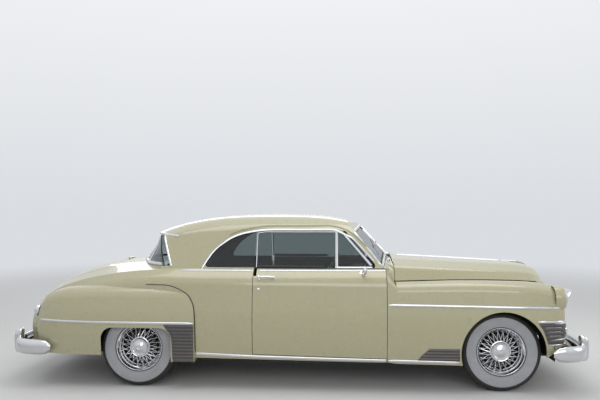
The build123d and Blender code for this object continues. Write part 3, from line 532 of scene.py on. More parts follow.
def build_pits(nodes, links, start, end):
    """Fine dents in a cast or sprayed surface."""
    noise = placed(nodes, links, "ShaderNodeTexNoise")
    noise.inputs["Detail"].default_value = 3
    links.new(start.outputs["Scale"], noise.inputs["Scale"])
    bumped(nodes, links, noise.outputs["Fac"], 0.001, start, end)


def build_weave(nodes, links, start, end):
    """Threads that cross."""
    waves = []
    for direction in ("X", "Z"):
        wave = placed(nodes, links, "ShaderNodeTexWave")
        wave.bands_direction = direction
        wave.inputs["Distortion"].default_value = 0.6
        wave.inputs["Detail"].default_value = 1
        links.new(start.outputs["Threads"], wave.inputs["Scale"])
        waves.append(wave.outputs["Fac"])
    height = maths(nodes, links, "MULTIPLY", maths(nodes, links, "ADD", *waves), 0.5)
    links.new(height, end.inputs["Mask"])
    bumped(nodes, links, height, 0.0008, start, end)


def build_grain(nodes, links, start, end):
    """The cells of hide or carpet pile."""
    cells = placed(nodes, links, "ShaderNodeTexVoronoi")
    links.new(start.outputs["Scale"], cells.inputs["Scale"])
    links.new(cells.outputs["Distance"], end.inputs["Mask"])
    bumped(nodes, links, cells.outputs["Distance"], 0.0008, start, end)


MASK = (("Mask", "NodeSocketFloat"),)
BUMP = (("Normal", "NodeSocketVector"),)


class Finish:
    """A material under construction: its Principled shader and short ways to add to it."""

    def __init__(self, name, colour, roughness, **values):
        self.material = bpy.data.materials.new(name)
        self.material.use_nodes = True
        self.nodes = self.material.node_tree.nodes
        self.links = self.material.node_tree.links
        self.shader = self.nodes["Principled BSDF"]
        self.colour = (*colour, 1)
        self.shader.inputs["Base Color"].default_value = self.colour
        self.shader.inputs["Roughness"].default_value = roughness
        for key, value in values.items():
            self.shader.inputs[key.replace("_", " ")].default_value = value

    def use(self, name, inputs, outputs, build):
        """A shader group in this material, with its inputs set."""
        node = self.nodes.new("ShaderNodeGroup")
        node.node_tree = group(name, inputs, outputs, build)
        for label, value in inputs:
            node.inputs[label].default_value = value
        return node

    def mottle(self, scale, contrast):
        """A mask of soft patches."""
        return self.use("Mottle", (("Scale", scale), ("Contrast", contrast)), MASK,
                        build_mottle).outputs["Mask"]

    def road_dust_and_reflection(self, top, reach):
        """A mask that starts at a height and grows downwards, for road dust and for a painted reflection of
        the road.
        """
        return self.use("Road dust and reflection", (("Top", top), ("Reach", reach)), MASK, build_road_dust_and_reflection).outputs["Mask"]

    def tint(self, mask, colour, amount):
        """Mixes another colour over the base by a mask."""
        mix = self.nodes.new("ShaderNodeMix")
        mix.data_type = "RGBA"
        socket = self.shader.inputs["Base Color"]
        if socket.is_linked:
            self.links.new(socket.links[0].from_socket, mix.inputs["A"])
        else:
            mix.inputs["A"].default_value = self.colour
        mix.inputs["B"].default_value = (*colour, 1)
        self.links.new(maths(self.nodes, self.links, "MULTIPLY", mask, amount), mix.inputs["Factor"])
        self.links.new(mix.outputs["Result"], socket)

    def roughen(self, mask, low, high):
        """Lets the roughness follow a mask."""
        self.links.new(ranged(self.nodes, self.links, mask, 0, 1, low, high), self.shader.inputs["Roughness"])

    def pits(self, scale, depth):
        """Dents the surface finely."""
        node = self.use("Pits", (("Scale", scale), ("Depth", depth)), BUMP, build_pits)
        self.links.new(node.outputs["Normal"], self.shader.inputs["Normal"])

    def weave(self, threads, depth, colour, amount):
        """Weaves the surface and tints its threads."""
        node = self.use("Weave", (("Threads", threads), ("Depth", depth)), (*MASK, *BUMP), build_weave)
        self.links.new(node.outputs["Normal"], self.shader.inputs["Normal"])
        self.tint(node.outputs["Mask"], colour, amount)

    def grain(self, scale, depth, colour, amount):
        """Grains the surface and tints its cells."""
        node = self.use("Grain", (("Scale", scale), ("Depth", depth)), (*MASK, *BUMP), build_grain)
        self.links.new(node.outputs["Normal"], self.shader.inputs["Normal"])
        self.tint(node.outputs["Mask"], colour, amount)


_finishes = {}


def finish_called(key, name, colour, roughness, **values):
    """A new finish, kept under a short name."""
    _finishes[key] = Finish(name, colour, roughness, **values)
    return _finishes[key]


def make_finishes(paint):
    """Every finish on the car, with what wear and weather do to it, and a painted reflection of the road low
    on the paint.
    """
    body = tuple(paint.body)
    f = finish_called("paint", "cream_paint", body, 0.28, Coat_Weight=0.85, Coat_Roughness=0.045,
                      Specular_IOR_Level=0.45)
    f.tint(f.mottle(0.7, 0.8), tuple(v * 0.97 for v in body), 0.35)
    # Painted reflection of the dark road: the paint turns darker and warmer towards the sills
    f.tint(f.road_dust_and_reflection(0.52, 0.34), linear(120, 112, 92), 0.2)
    f.roughen(f.mottle(9, 1.2), 0.24, 0.32)
    f = finish_called("chrome", "bright_chrome", (0.66, 0.67, 0.69), 0.07, Metallic=1)
    f.tint(f.mottle(26, 1.8), (0.5, 0.5, 0.52), 0.25)
    f.roughen(f.mottle(60, 2.2), 0.035, 0.13)
    f.pits(420, 0.04)
    f = finish_called("steel", "satin_steel", (0.52, 0.52, 0.53), 0.3, Metallic=1)
    f.tint(f.mottle(30, 1.5), (0.33, 0.32, 0.31), 0.5)
    f.roughen(f.mottle(50, 2), 0.24, 0.42)
    f = finish_called("guard", "guard_grey", tuple(paint.guard), 0.42, Metallic=0.3)
    f.tint(f.mottle(40, 1.8), linear(104, 98, 92), 0.35)
    f.tint(f.road_dust_and_reflection(0.5, 0.3), linear(118, 108, 94), 0.3)
    f = finish_called("rubber", "tyre_black", linear(34, 34, 35), 0.78)
    f.tint(f.mottle(18, 2), linear(58, 55, 52), 0.55)
    f.tint(f.mottle(90, 2.4), linear(70, 66, 60), 0.25)
    f.pits(600, 0.25)
    f = finish_called("white", "tyre_white", tuple(paint.white), 0.62)
    f.tint(f.mottle(11, 2), linear(150, 148, 146), 0.5)
    f.tint(f.mottle(48, 2.4), linear(128, 126, 122), 0.2)
    f.pits(500, 0.12)
    f = finish_called("seal", "seal_black", linear(24, 24, 25), 0.6)
    f.tint(f.mottle(60, 2), linear(50, 48, 46), 0.4)
    f.pits(700, 0.2)
    f = finish_called("glass", "window_glass", (0.32, 0.38, 0.38), 0.01, IOR=1.45, Transmission_Weight=1)
    f.roughen(f.mottle(5, 1.5), 0.0, 0.03)
    f.pits(3, 0.01)
    f = finish_called("lens", "lamp_glass", (0.95, 0.96, 0.97), 0.03, IOR=1.45, Transmission_Weight=0.85)
    f.roughen(f.mottle(30, 1.5), 0.02, 0.08)
    f.pits(60, 0.2)
    f = finish_called("red", "tail_glass", linear(150, 16, 12), 0.08, IOR=1.5, Transmission_Weight=0.35,
                      Coat_Weight=0.6)
    f.tint(f.mottle(70, 2), linear(90, 6, 6), 0.6)
    f.pits(120, 0.3)
    f = finish_called("amber", "amber_glass", linear(214, 132, 40), 0.1, IOR=1.5, Transmission_Weight=0.3,
                      Coat_Weight=0.5)
    f.tint(f.mottle(70, 2), linear(150, 74, 16), 0.5)
    f.pits(120, 0.3)
    f = finish_called("chassis", "chassis_black", linear(34, 33, 32), 0.55)
    f.tint(f.mottle(9, 2), linear(74, 64, 54), 0.5)
    f.roughen(f.mottle(30, 2), 0.45, 0.8)
    f.pits(160, 0.3)
    f = finish_called("engine", "engine_grey", linear(88, 92, 96), 0.5, Metallic=0.35)
    f.tint(f.mottle(12, 2), linear(48, 44, 40), 0.6)
    f.pits(220, 0.4)
    f = finish_called("cloth", "seat_cloth", tuple(paint.seat), 0.85, Sheen_Weight=0.4, Sheen_Roughness=0.4)
    f.weave(150, 0.35, linear(44, 41, 39), 0.4)
    f.tint(f.mottle(7, 2), linear(80, 74, 68), 0.3)
    f = finish_called("hide", "seat_hide", tuple(paint.hide), 0.48, Coat_Weight=0.15)
    f.grain(240, 0.5, linear(28, 24, 22), 0.5)
    f.tint(f.mottle(8, 2), linear(62, 55, 50), 0.35)
    f = finish_called("carpet", "floor_carpet", linear(52, 48, 44), 0.95, Sheen_Weight=0.3)
    f.grain(420, 1.0, linear(30, 27, 25), 0.7)
    f.tint(f.mottle(10, 2), linear(74, 68, 60), 0.4)
    f = finish_called("lining", "roof_lining", linear(84, 80, 74), 0.9, Sheen_Weight=0.3)
    f.weave(220, 0.1, linear(72, 68, 63), 0.3)
    f = finish_called("dash", "dash_enamel", linear(96, 88, 74), 0.3, Coat_Weight=0.6, Coat_Roughness=0.1)
    f.tint(f.mottle(16, 1.8), linear(74, 66, 54), 0.5)
    f.pits(300, 0.08)
    f = finish_called("ivory", "wheel_ivory", linear(206, 196, 168), 0.3, Coat_Weight=0.4)
    f.tint(f.mottle(22, 1.8), linear(178, 162, 128), 0.5)
    f = finish_called("dial", "dial_face", linear(38, 36, 34), 0.4)
    f.tint(f.mottle(90, 2), linear(60, 57, 52), 0.4)


def finish_of(name):
    """The material that is kept under a short name."""
    return _finishes[name].material


# The slot that goes with each finish; nothing reads this table, so no piece is given a slot here
USUAL_SLOT = {
    "paint": "body_paint",
    **dict.fromkeys(("chrome", "steel", "guard", "ivory"), "chrome"),
    **dict.fromkeys(("rubber", "seal"), "tyre"),
    **dict.fromkeys(("glass", "lens", "amber"), "glass"),
    "red": "red_glass",
    **dict.fromkeys(("chassis", "carpet", "dial"), "black_paint"),
    "engine": "cast_metal",
    **dict.fromkeys(("cloth", "hide", "lining"), "upholstery"),
    "dash": "interior_plastic",
}


def finish_piece(piece, finish, body="body"):
    """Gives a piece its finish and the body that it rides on."""
    piece.data.materials.clear()
    piece.data.materials.append(finish_of(finish))
    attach(piece, body)
    return piece


def finished_moulding(name, spots, section, finish="chrome", body="body", **shape):
    """A moulding with its finish, chrome on the body unless the call says otherwise."""
    finish_piece(moulding(name, spots, section, **shape), finish, body)


# Body panels

PAINTED = ("body_shell", "front_fender_left", "front_fender_right", "nose_panel", "rear_fender_left",
           "rear_fender_right", "hood", "trunk_lid", "door_left", "door_right")
CHASSIS = ("frame", "front_suspension", "rear_axle", "knuckle_left", "knuckle_right", "tie_rod", "fuel_tank",
           "steering_column")
GLAZED = ("windscreen", "rear_window", "quarter_glass_left", "quarter_glass_right", "door_glass_left",
          "door_glass_right")
CABIN_MIDDLE = Vector((-0.25, 0, 0.95))
CABIN_LOW, CABIN_HIGH = (-1.3, -0.87, 0.3), (0.93, 0.87, 1.58)


class HARDTOP_OT_panels(bpy.types.Operator):
    """Put smooth painted panels in place of the plain ones"""
    bl_idname = "hardtop.panels"
    bl_label = "Painted panels"

    def execute(self, context):
        for node in PAINTED:
            piece = panel_copy(node, f"{node}_panel")
            finish_piece(piece, "paint", body_of_node(node))
            if node in ("body_shell", "door_left", "door_right"):
                self.line(piece)
        return {"FINISHED"}

    def line(self, piece):
        """Gives the faces that look into the cabin the colour of its trim."""
        piece.data.materials.append(finish_of("hide"))
        for face in piece.data.polygons:
            inward = (CABIN_MIDDLE - face.center).normalized().dot(face.normal)
            inside = all(low < place < high for low, place, high in zip(CABIN_LOW, face.center, CABIN_HIGH))
            if inside and inward > 0.3:
                face.material_index = 1


class HARDTOP_OT_glass(bpy.types.Operator):
    """Glaze the screens and windows"""
    bl_idname = "hardtop.glass"
    bl_label = "Window glass"

    def execute(self, context):
        for node in GLAZED:
            finish_piece(panel_copy(node, f"{node}_pane"), "glass", body_of_node(node))
        return {"FINISHED"}


class HARDTOP_OT_chassis(bpy.types.Operator):
    """Finish the frame, running gear, engine and floor"""
    bl_idname = "hardtop.chassis"
    bl_label = "Chassis"

    def execute(self, context):
        for node in CHASSIS:
            finish_piece(panel_copy(node, f"{node}_metal"), "chassis", body_of_node(node))
        for node, finish in (("engine", "engine"), ("radiator", "chassis"), ("floor_pan", "carpet")):
            finish_piece(panel_copy(node, f"{node}_part"), finish, body_of_node(node))
        return {"FINISHED"}


# Wheels

TYRE_HALF = ((0.070, 0.2065), (0.0745, 0.2062), (0.0750, 0.221), (0.082, 0.2235), (0.0905, 0.229),
             (0.0965, 0.242), (0.1005, 0.260), (0.1025, 0.280), (0.1028, 0.298), (0.1012, 0.316),
             (0.0985, 0.326), (0.0935, 0.338), (0.0850, 0.3475), (0.0760, 0.3535), (0.0700, 0.3562),
             (0.0640, 0.3574), (0.0632, 0.3510), (0.0580, 0.3510), (0.0572, 0.3584), (0.0400, 0.3594),
             (0.0392, 0.3525), (0.0340, 0.3525), (0.0332, 0.3597), (0.0140, 0.3599), (0.0132, 0.3530),
             (0.0080, 0.3530), (0.0072, 0.36))
RIM_FACE = ((-0.072, 0.199), (-0.079, 0.214), (-0.072, 0.2055), (-0.03, 0.2040), (0.0, 0.2035),
            (0.03, 0.2040), (0.0722, 0.2052), (0.0745, 0.2155), (0.0775, 0.2188), (0.0805, 0.2165),
            (0.0800, 0.2110), (0.0760, 0.2070), (0.0700, 0.2040), (0.0660, 0.1990), (0.0600, 0.1965),
            (0.0540, 0.1950), (0.0500, 0.1900), (0.0440, 0.1850), (0.0360, 0.1835), (0.0290, 0.1800),
            (0.0250, 0.1740), (0.0190, 0.1690), (0.0120, 0.1675), (-0.005, 0.1680), (-0.02, 0.172),
            (-0.05, 0.19))
HUB_CAP = ((0.050, 0.0), (0.050, 0.092), (0.054, 0.0955), (0.058, 0.0935), (0.060, 0.0890), (0.058, 0.0840),
           (0.061, 0.0800), (0.0665, 0.0760), (0.0670, 0.0700), (0.0640, 0.0660), (0.0655, 0.0560),
           (0.0700, 0.0440), (0.0745, 0.0300), (0.0770, 0.0260), (0.0778, 0.0220), (0.0760, 0.0190),
           (0.0770, 0.0120), (0.0778, 0.0))
RIM_WELL = ((-0.068, 0.2035), (-0.068, 0.190), (-0.060, 0.178), (-0.026, 0.165), (-0.022, 0.171),
            (-0.052, 0.186), (-0.058, 0.2035))
DRUM = ((-0.04, 0.0312), (-0.04, 0.140), (-0.030, 0.146), (-0.004, 0.146), (0.0, 0.138), (0.002, 0.09),
        (0.044, 0.088), (0.050, 0.060), (0.050, 0.0), (0.0425, 0.0), (0.0425, 0.0312))
SIDE_WALL = 0.075


class HARDTOP_OT_wheels(bpy.types.Operator):
    """Make the whitewall tyres and the wire wheels"""
    bl_idname = "hardtop.wheels"
    bl_label = "Wheels and tyres"

    def execute(self, context):
        sizes = context.scene.hardtop_wheels
        for name, x, y, side in WHEEL_SPOTS:
            centre, axis = Vector((x, y, TYRE_R)), Vector((0, side, 0))
            body = f"wheel_{name}"
            ring = [*TYRE_HALF, *[(-a, o) for a, o in reversed(TYRE_HALF)]]
            tyre = spun(f"tyre_{name}_rubber", ring, centre, axis, 96, 30)
            finish_piece(tyre, "rubber", body)
            tyre.data.materials.append(finish_of("white"))
            for face in tyre.data.polygons:
                away = face.center - centre
                out = (away - axis * away.dot(axis)).length
                if away.dot(axis) > SIDE_WALL and sizes.white_in < out < sizes.white_out:
                    face.material_index = 1
            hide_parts(f"tyre_{name}")
            rim = spun(f"rim_{name}", RIM_FACE, centre, axis, 72)
            finish_piece(rim, "chrome", body)
            cap = spun(f"hub_cap_{name}", HUB_CAP, centre, axis, 64)
            finish_piece(cap, "chrome", body)
            turn = axis.orthogonal().normalized()
            other = axis.cross(turn)
            spokes = []
            for lean, foot_along, rim_along in ((0.24, 0.047, 0.010), (-0.24, 0.047, 0.010),
                                                (0.20, 0.030, 0.004), (-0.20, 0.030, 0.004)):
                foot = centre + axis * foot_along + (turn * math.cos(lean) + other * math.sin(lean)) * 0.086
                tip = centre + axis * rim_along + turn * 0.1705
                spokes.append(rod("spoke", foot, tip, 0.0026, 6))
            wires = joined(f"spokes_{name}", *spokes)
            around(wires, centre, axis, sizes.spokes)
            finish_piece(wires, "chrome", body)
            drum = spun(f"drum_{name}", DRUM, centre, axis, 48)
            finish_piece(drum, "chassis", body)
            back = spun(f"rim_well_{name}", RIM_WELL, centre, axis, 64)
            finish_piece(back, "chassis", body)
            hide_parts(f"wheel_{name}")
        return {"FINISHED"}


# Side mouldings and stone guards

REAR_STRIP = ((-2.392, 0.617), (-1.9, 0.612), (-0.899, 0.609))
FRONT_STRIP = ((0.878, 0.792), (1.6, 0.784), (2.446, 0.7705))
SILL_BODY = ((-0.884, 0.3235), (-0.352, 0.3075), (0.858, 0.2875))
SILL_FENDER = ((0.874, 0.2865), (1.2, 0.283), (1.508, 0.279))
NOSE_BAR = ((2.192, 0.654), (2.450, 0.652))
NOSE_FOOT_BAR = ((2.300, 0.446), (2.450, 0.446))
BELT_DOOR = ((0.855, 1.086), (-0.345, 1.086))
BELT_BODY = ((-0.365, 1.086), (-0.86, 1.084), (-1.06, 1.082))
GUARD_REAR = ((0.255, -1.088, -0.896), (0.300, -1.092, -0.896), (0.440, -1.098, -0.896),
              (0.480, -1.101, -0.896), (0.520, -1.118, -0.896), (0.560, -1.150, -0.896),
              (0.597, -1.174, -0.896))
GUARD_FRONT = ((0.294, 1.135, 1.512), (0.330, 1.165, 1.514), (0.370, 1.205, 1.510), (0.404, 1.245, 1.512))
GUARD_NOSE = ((0.455, 2.286, 2.442), (0.520, 2.266, 2.442), (0.580, 2.240, 2.442), (0.640, 2.200, 2.442))


def side_strip(name, nodes, side, line, height, proud, body, finish="chrome", taper=0.03):
    """A domed strip laid along the car's side."""
    spots = on_side(nodes, side, divided(line, 0.05))
    finished_moulding(name, spots, crowned(height, proud), finish, body, taper=taper)


def ribbed_guard(name, nodes, side, outline, ribs, body):
    """A thin pressed guard with level ribs, between two edges given row by row."""
    low, high = outline[0][0], outline[-1][0]
    rows = []
    count = ribs * 8
    for number in range(count + 1):
        z = low + (high - low) * number / count
        for (z0, a0, b0), (z1, a1, b1) in zip(outline, outline[1:]):
            if z0 <= z <= z1 + 1e-9:
                share = (z - z0) / (z1 - z0)
                start, end = a0 + (a1 - a0) * share, b0 + (b1 - b0) * share
        swell = 0.5 - 0.5 * math.cos(math.tau * number * ribs / count)
        row = []
        for step in range(15):
            x = start + (end - start) * step / 14
            point, normal = cast(nodes, (x, side * BESIDE, z), (0, -side, 0))
            edge = 0.15 if step in (0, 14) or number in (0, count) else 1
            row.append(point + normal * (0.0015 + 0.0065 * swell ** 1.6 * edge + 0.0015 * edge))
        rows.append(row)
    piece = loft(name, rows, angle=60)
    thickened(piece, 0.003, 50)
    return finish_piece(piece, "guard", body)


class HARDTOP_OT_side_trim(bpy.types.Operator):
    """Lay the side mouldings and the ribbed stone guards"""
    bl_idname = "hardtop.side_trim"
    bl_label = "Side trim"

    def execute(self, context):
        trim = context.scene.hardtop_trim
        for side, word in SIDES:
            rear, front = (f"rear_fender_{word}",), (f"front_fender_{word}",)
            shell, door = ("body_shell",), (f"door_{word}",)
            side_strip(f"rear_fender_strip_{word}", rear, side, REAR_STRIP, trim.strip, 0.0075, "body")
            side_strip(f"front_fender_strip_{word}", front, side, FRONT_STRIP, trim.strip, 0.0075, "body")
            side_strip(f"sill_strip_{word}", shell, side, SILL_BODY, trim.sill * 0.8, 0.006, "body", taper=0)
            side_strip(f"sill_strip_front_{word}", front, side, SILL_FENDER, trim.sill * 0.8, 0.006, "body")
            side_strip(f"belt_strip_door_{word}", door, side, BELT_DOOR, 0.014, 0.006, door[0], taper=0)
            side_strip(f"belt_strip_quarter_{word}", shell, side, BELT_BODY, 0.014, 0.006, "body")
            ribbed_guard(f"stone_guard_rear_{word}", rear, side, GUARD_REAR, 11, "body")
            ribbed_guard(f"stone_guard_front_{word}", front, side, GUARD_FRONT, 4, "body")
            ribbed_guard(f"stone_guard_nose_{word}", front, side, GUARD_NOSE, 5, "body")
            low, high = GUARD_NOSE[0][0], GUARD_NOSE[-1][0]
            for number in range(1, 5):
                z = low + (high - low) * number / 5
                line = ((2.300 - (z - low) * 0.42, z), (2.440, z))
                side_strip(f"nose_rib_{word}_{number}", front, side, line, 0.007, 0.0065, "body", "steel",
                           0.01)
            side_strip(f"nose_bar_{word}", front, side, NOSE_BAR, 0.026, 0.015, "body")
            side_strip(f"nose_foot_bar_{word}", front, side, NOSE_FOOT_BAR, 0.018, 0.010, "body")
            self.handle(side, word)
        return {"FINISHED"}

    def handle(self, side, word):
        """A pull handle with its button and lock on the door."""
        door = (f"door_{word}",)
        spots = on_side(door, side, divided(((-0.318, 1.023), (-0.150, 1.026)), 0.012))
        grip = []
        for number, (point, normal) in enumerate(spots):
            share = number / (len(spots) - 1)
            lift = 0.030 * math.sin(math.pi * min(1, 0.16 + share * 0.84)) ** 0.5
            grip.append((point + normal * lift, normal))
        section = [(0.009 * math.sin(a), 0.0065 * math.cos(a)) for a in circle(12)]
        parts = [moulding(f"door_handle_grip_{word}", grip, section, taper=0.02)]
        for x, radius, reach in ((-0.300, 0.017, 0.034), (-0.160, 0.012, 0.028)):
            point, normal = cast(door, (x, side * BESIDE, 1.024), (0, -side, 0))
            foot, tip = point - normal * 0.004, point + normal * reach
            parts.append(rod("handle_foot", foot, tip, radius * 0.6, 20, 0.003))
            profile = ((-0.003, 0), (-0.003, radius), (0.003, radius * 0.97), (0.006, radius * 0.7),
                       (0.006, 0))
            parts.append(spun("handle_rose", profile, point, normal, 32))
        point, normal = cast(door, (-0.303, side * BESIDE, 0.926), (0, -side, 0))
        profile = ((-0.003, 0), (-0.003, 0.013), (0.002, 0.0125), (0.004, 0.009), (0.0035, 0.0),
                   (0.0035, 0.0))
        parts.append(spun("door_lock", profile, point, normal, 32))
        handle = joined(f"door_handle_{word}", *parts)
        finish_piece(handle, "chrome", f"door_{word}")


# Window and screen frames

SIDE_OPENING = ((0.806, 1.100), (0.494, 1.452), (-0.300, 1.452), (-0.560, 1.400), (-0.750, 1.262),
                (-0.842, 1.110), (-0.846, 1.088))
SCREEN_OPENING = ((0.0, 1.2046), (0.02, 1.2021), (0.7317, 1.1129), (0.5657, 1.4405), (0.014, 1.491),
                  (0.0, 1.4923))
SCREEN_RUBBER = ((0.02, 1.2155), (0.703, 1.1305), (0.5535, 1.4275), (0.02, 1.4765))
DRIP_SECTION = ((-0.006, -0.003), (-0.006, 0.006), (-0.001, 0.010), (0.006, 0.009), (0.006, -0.003))
DIVIDER_Y = 0.50


def outset(line, amount):
    """An open line moved to its left by an amount, its corners kept sharp."""
    result = []
    for number, here in enumerate(line):
        here = Vector(here)
        turns = []
        if number:
            turns.append((here - Vector(line[number - 1])).normalized())
        if number < len(line) - 1:
            turns.append((Vector(line[number + 1]) - here).normalized())
        normals = [Vector((t.y, -t.x)) for t in turns]
        middle = sum(normals, Vector((0, 0))).normalized()
        result.append(tuple(here + middle * amount / max(0.3, middle.dot(normals[0]))))
    return result


class HARDTOP_OT_windows(bpy.types.Operator):
    """Frame the side windows and both screens"""
    bl_idname = "hardtop.windows"
    bl_label = "Window frames"

    def execute(self, context):
        trim = context.scene.hardtop_trim
        shell = ("body_shell",)
        for side, word in SIDES:
            line = rounded(outset(SIDE_OPENING, 0.009), 0.16, 10)
            line = divided(line, 0.03)
            spots = on_side(shell, side, [p for p in line if p[0] < 0.76])
            finished_moulding(f"window_reveal_{word}", spots, crowned(trim.window, 0.007))
            drip = divided(rounded(outset(SIDE_OPENING[:5], 0.046), 0.2, 10), 0.04)
            spots = on_side(shell, side, [p for p in drip if p[0] > -0.62 and p[1] > 1.16])
            finished_moulding(f"drip_rail_{word}", spots, DRIP_SECTION, "paint", taper=0.02)
            self.vent(side, word)
        self.windscreen(trim.screen)
        self.rear(trim.screen)
        return {"FINISHED"}

    def vent(self, side, word):
        """The chrome frame of the swivelling front pane, and the pane's rubber."""
        door, glass = f"door_{word}", (f"door_glass_{word}",)
        for name, line, width in (
            ("vent_post", ((0.411, 1.106), (0.411, 1.436)), 0.026),
            ("vent_front", ((0.752, 1.108), (0.486, 1.415)), 0.026),
            ("vent_foot", ((0.740, 1.112), (0.40, 1.112)), 0.018),
            ("pane_top", ((0.474, 1.438), (-0.278, 1.438), (-0.338, 1.425)), 0.010),
            ("pane_rear", ((-0.340, 1.425), (-0.340, 1.110)), 0.010),
        ):
            spots = on_side(glass, side, divided(line, 0.03))
            finished_moulding(f"{name}_{word}", spots, crowned(width, 0.008, 0.009), body=door)
        spots = on_side(glass, side, divided(((0.30, 1.116), (0.30, 1.118), (-0.33, 1.118)), 0.03))
        finished_moulding(f"pane_wiper_{word}", spots, crowned(0.026, 0.006, 0.008), "seal", door)

    def windscreen(self, width):
        """The frames, the rubbers and the middle post of the windscreen."""
        shell = ("body_shell",)
        for side, word in SIDES:
            line = divided(rounded(SCREEN_OPENING, 0.06, 8), 0.03)
            spots = [cast(shell, (SCREEN_AHEAD, side * max(y, 0.001), z), (-1, 0, 0)) for y, z in line]
            finished_moulding(f"screen_frame_{word}", spots, crowned(width, 0.009, 0.004))
            line = divided(rounded(SCREEN_RUBBER, 0.06, 6), 0.04)
            rays = [((SCREEN_AHEAD, side * max(y, 0.018), z), (-1, 0, 0)) for y, z in line]
            spots = hits(("windscreen",), rays)
            finished_moulding(f"screen_rubber_{word}", spots, crowned(0.016, 0.006, 0.004), "seal")
        low, _ = cast(shell, (SCREEN_AHEAD, 0.0, 1.205), (-1, 0, 0))
        high, _ = cast(shell, (SCREEN_AHEAD, 0.0, 1.492), (-1, 0, 0))
        normal = Vector(((high - low).z, 0, -(high - low).x)).normalized()
        spots = [(low.lerp(high, n / 10), normal) for n in range(11)]
        finished_moulding("screen_post", spots, crowned(0.032, 0.010, 0.012))

    def sweep(self):
        """Level directions from the cabin's middle out across the rear window."""
        for number in range(61):
            turn = math.radians(101 + 158 * number / 60)
            yield Vector((math.cos(turn), math.sin(turn), 0))

    def rear(self, width):
        """The frame and the two dividers of the rear window."""
        shell = ("body_shell",)
        spots = []
        for toward in self.sweep():
            # The top edge climbs towards the tail, so each ray is aimed again from the place it met
            z = 1.418
            for _ in range(3):
                point, normal = cast(shell, Vector((-1.0, 0, z)) + toward * 2.2, -toward)
                z = 1.414 + 0.106 * (-1.284 - point.x)
            spots.append((point, normal))
        finished_moulding("rear_frame_top", spots, crowned(width, 0.008))
        spots = []
        for toward in self.sweep():
            for point, _ in hits(("rear_window",), [(Vector((-1.0, 0, 1.175)) + toward * 2.2, -toward)]):
                top, _ = cast(shell, point + toward * 0.02 + Vector((0, 0, 0.3)), (0, 0, -1))
                start = Vector((-1.0, 0, top.z + 0.016)) + toward * 2.2
                spots.extend(hits(("rear_window",), [(start, -toward)]))
        finished_moulding("rear_frame_foot", spots, crowned(0.034, 0.012, 0.008))
        for side, word in SIDES:
            line = divided(outset(((-1.168, 1.112), (-1.282, 1.398)), 0.010), 0.03)
            spots = on_side(shell, side, line)
            finished_moulding(f"rear_frame_side_{word}", spots, crowned(width * 0.8, 0.008))
            rays = [((-2.6, side * DIVIDER_Y, 1.125 + 0.29 * n / 11), (1, 0, 0)) for n in range(12)]
            spots = hits(("rear_window",), rays)
            finished_moulding(f"rear_divider_{word}", spots, crowned(0.026, 0.010, 0.009))


# Lamps, grille and bumpers

LAMP = Vector((2.44, 0.76, 0.845))
TAIL_LAMP = Vector((-2.44, 0.77, 0.69))
LAMP_RIM = ((-0.030, 0.0985), (0.000, 0.1010), (0.014, 0.1025), (0.023, 0.1010), (0.029, 0.0960),
            (0.031, 0.0910), (0.028, 0.0870), (0.018, 0.0852), (0.008, 0.0858), (0.000, 0.0900),
            (-0.020, 0.0950))
LAMP_COLLAR = ((-0.075, 0.1132), (-0.040, 0.1150), (-0.010, 0.1150), (0.008, 0.1120), (0.015, 0.1070),
               (0.016, 0.1035), (0.006, 0.1030), (-0.075, 0.1110))
LAMP_BOWL = ((-0.045, 0), (-0.045, 0.060), (-0.030, 0.0980), (-0.004, 0.0980), (-0.002, 0.0850),
             (-0.010, 0.0700), (-0.026, 0.0420), (-0.034, 0.0))
LAMP_BULB = ((-0.036, 0), (-0.036, 0.012), (-0.016, 0.014), (-0.006, 0.010), (-0.002, 0.0))
TAIL_LENS = ((-0.034, 0), (-0.034, 0.0412), (0.010, 0.0412), (0.022, 0.038), (0.030, 0.030), (0.036, 0.018),
             (0.038, 0.0))
TAIL_RIM = ((-0.020, 0.0440), (-0.006, 0.0560), (0.004, 0.0560), (0.014, 0.0500), (0.020, 0.0440),
            (0.012, 0.0415), (-0.010, 0.0415))


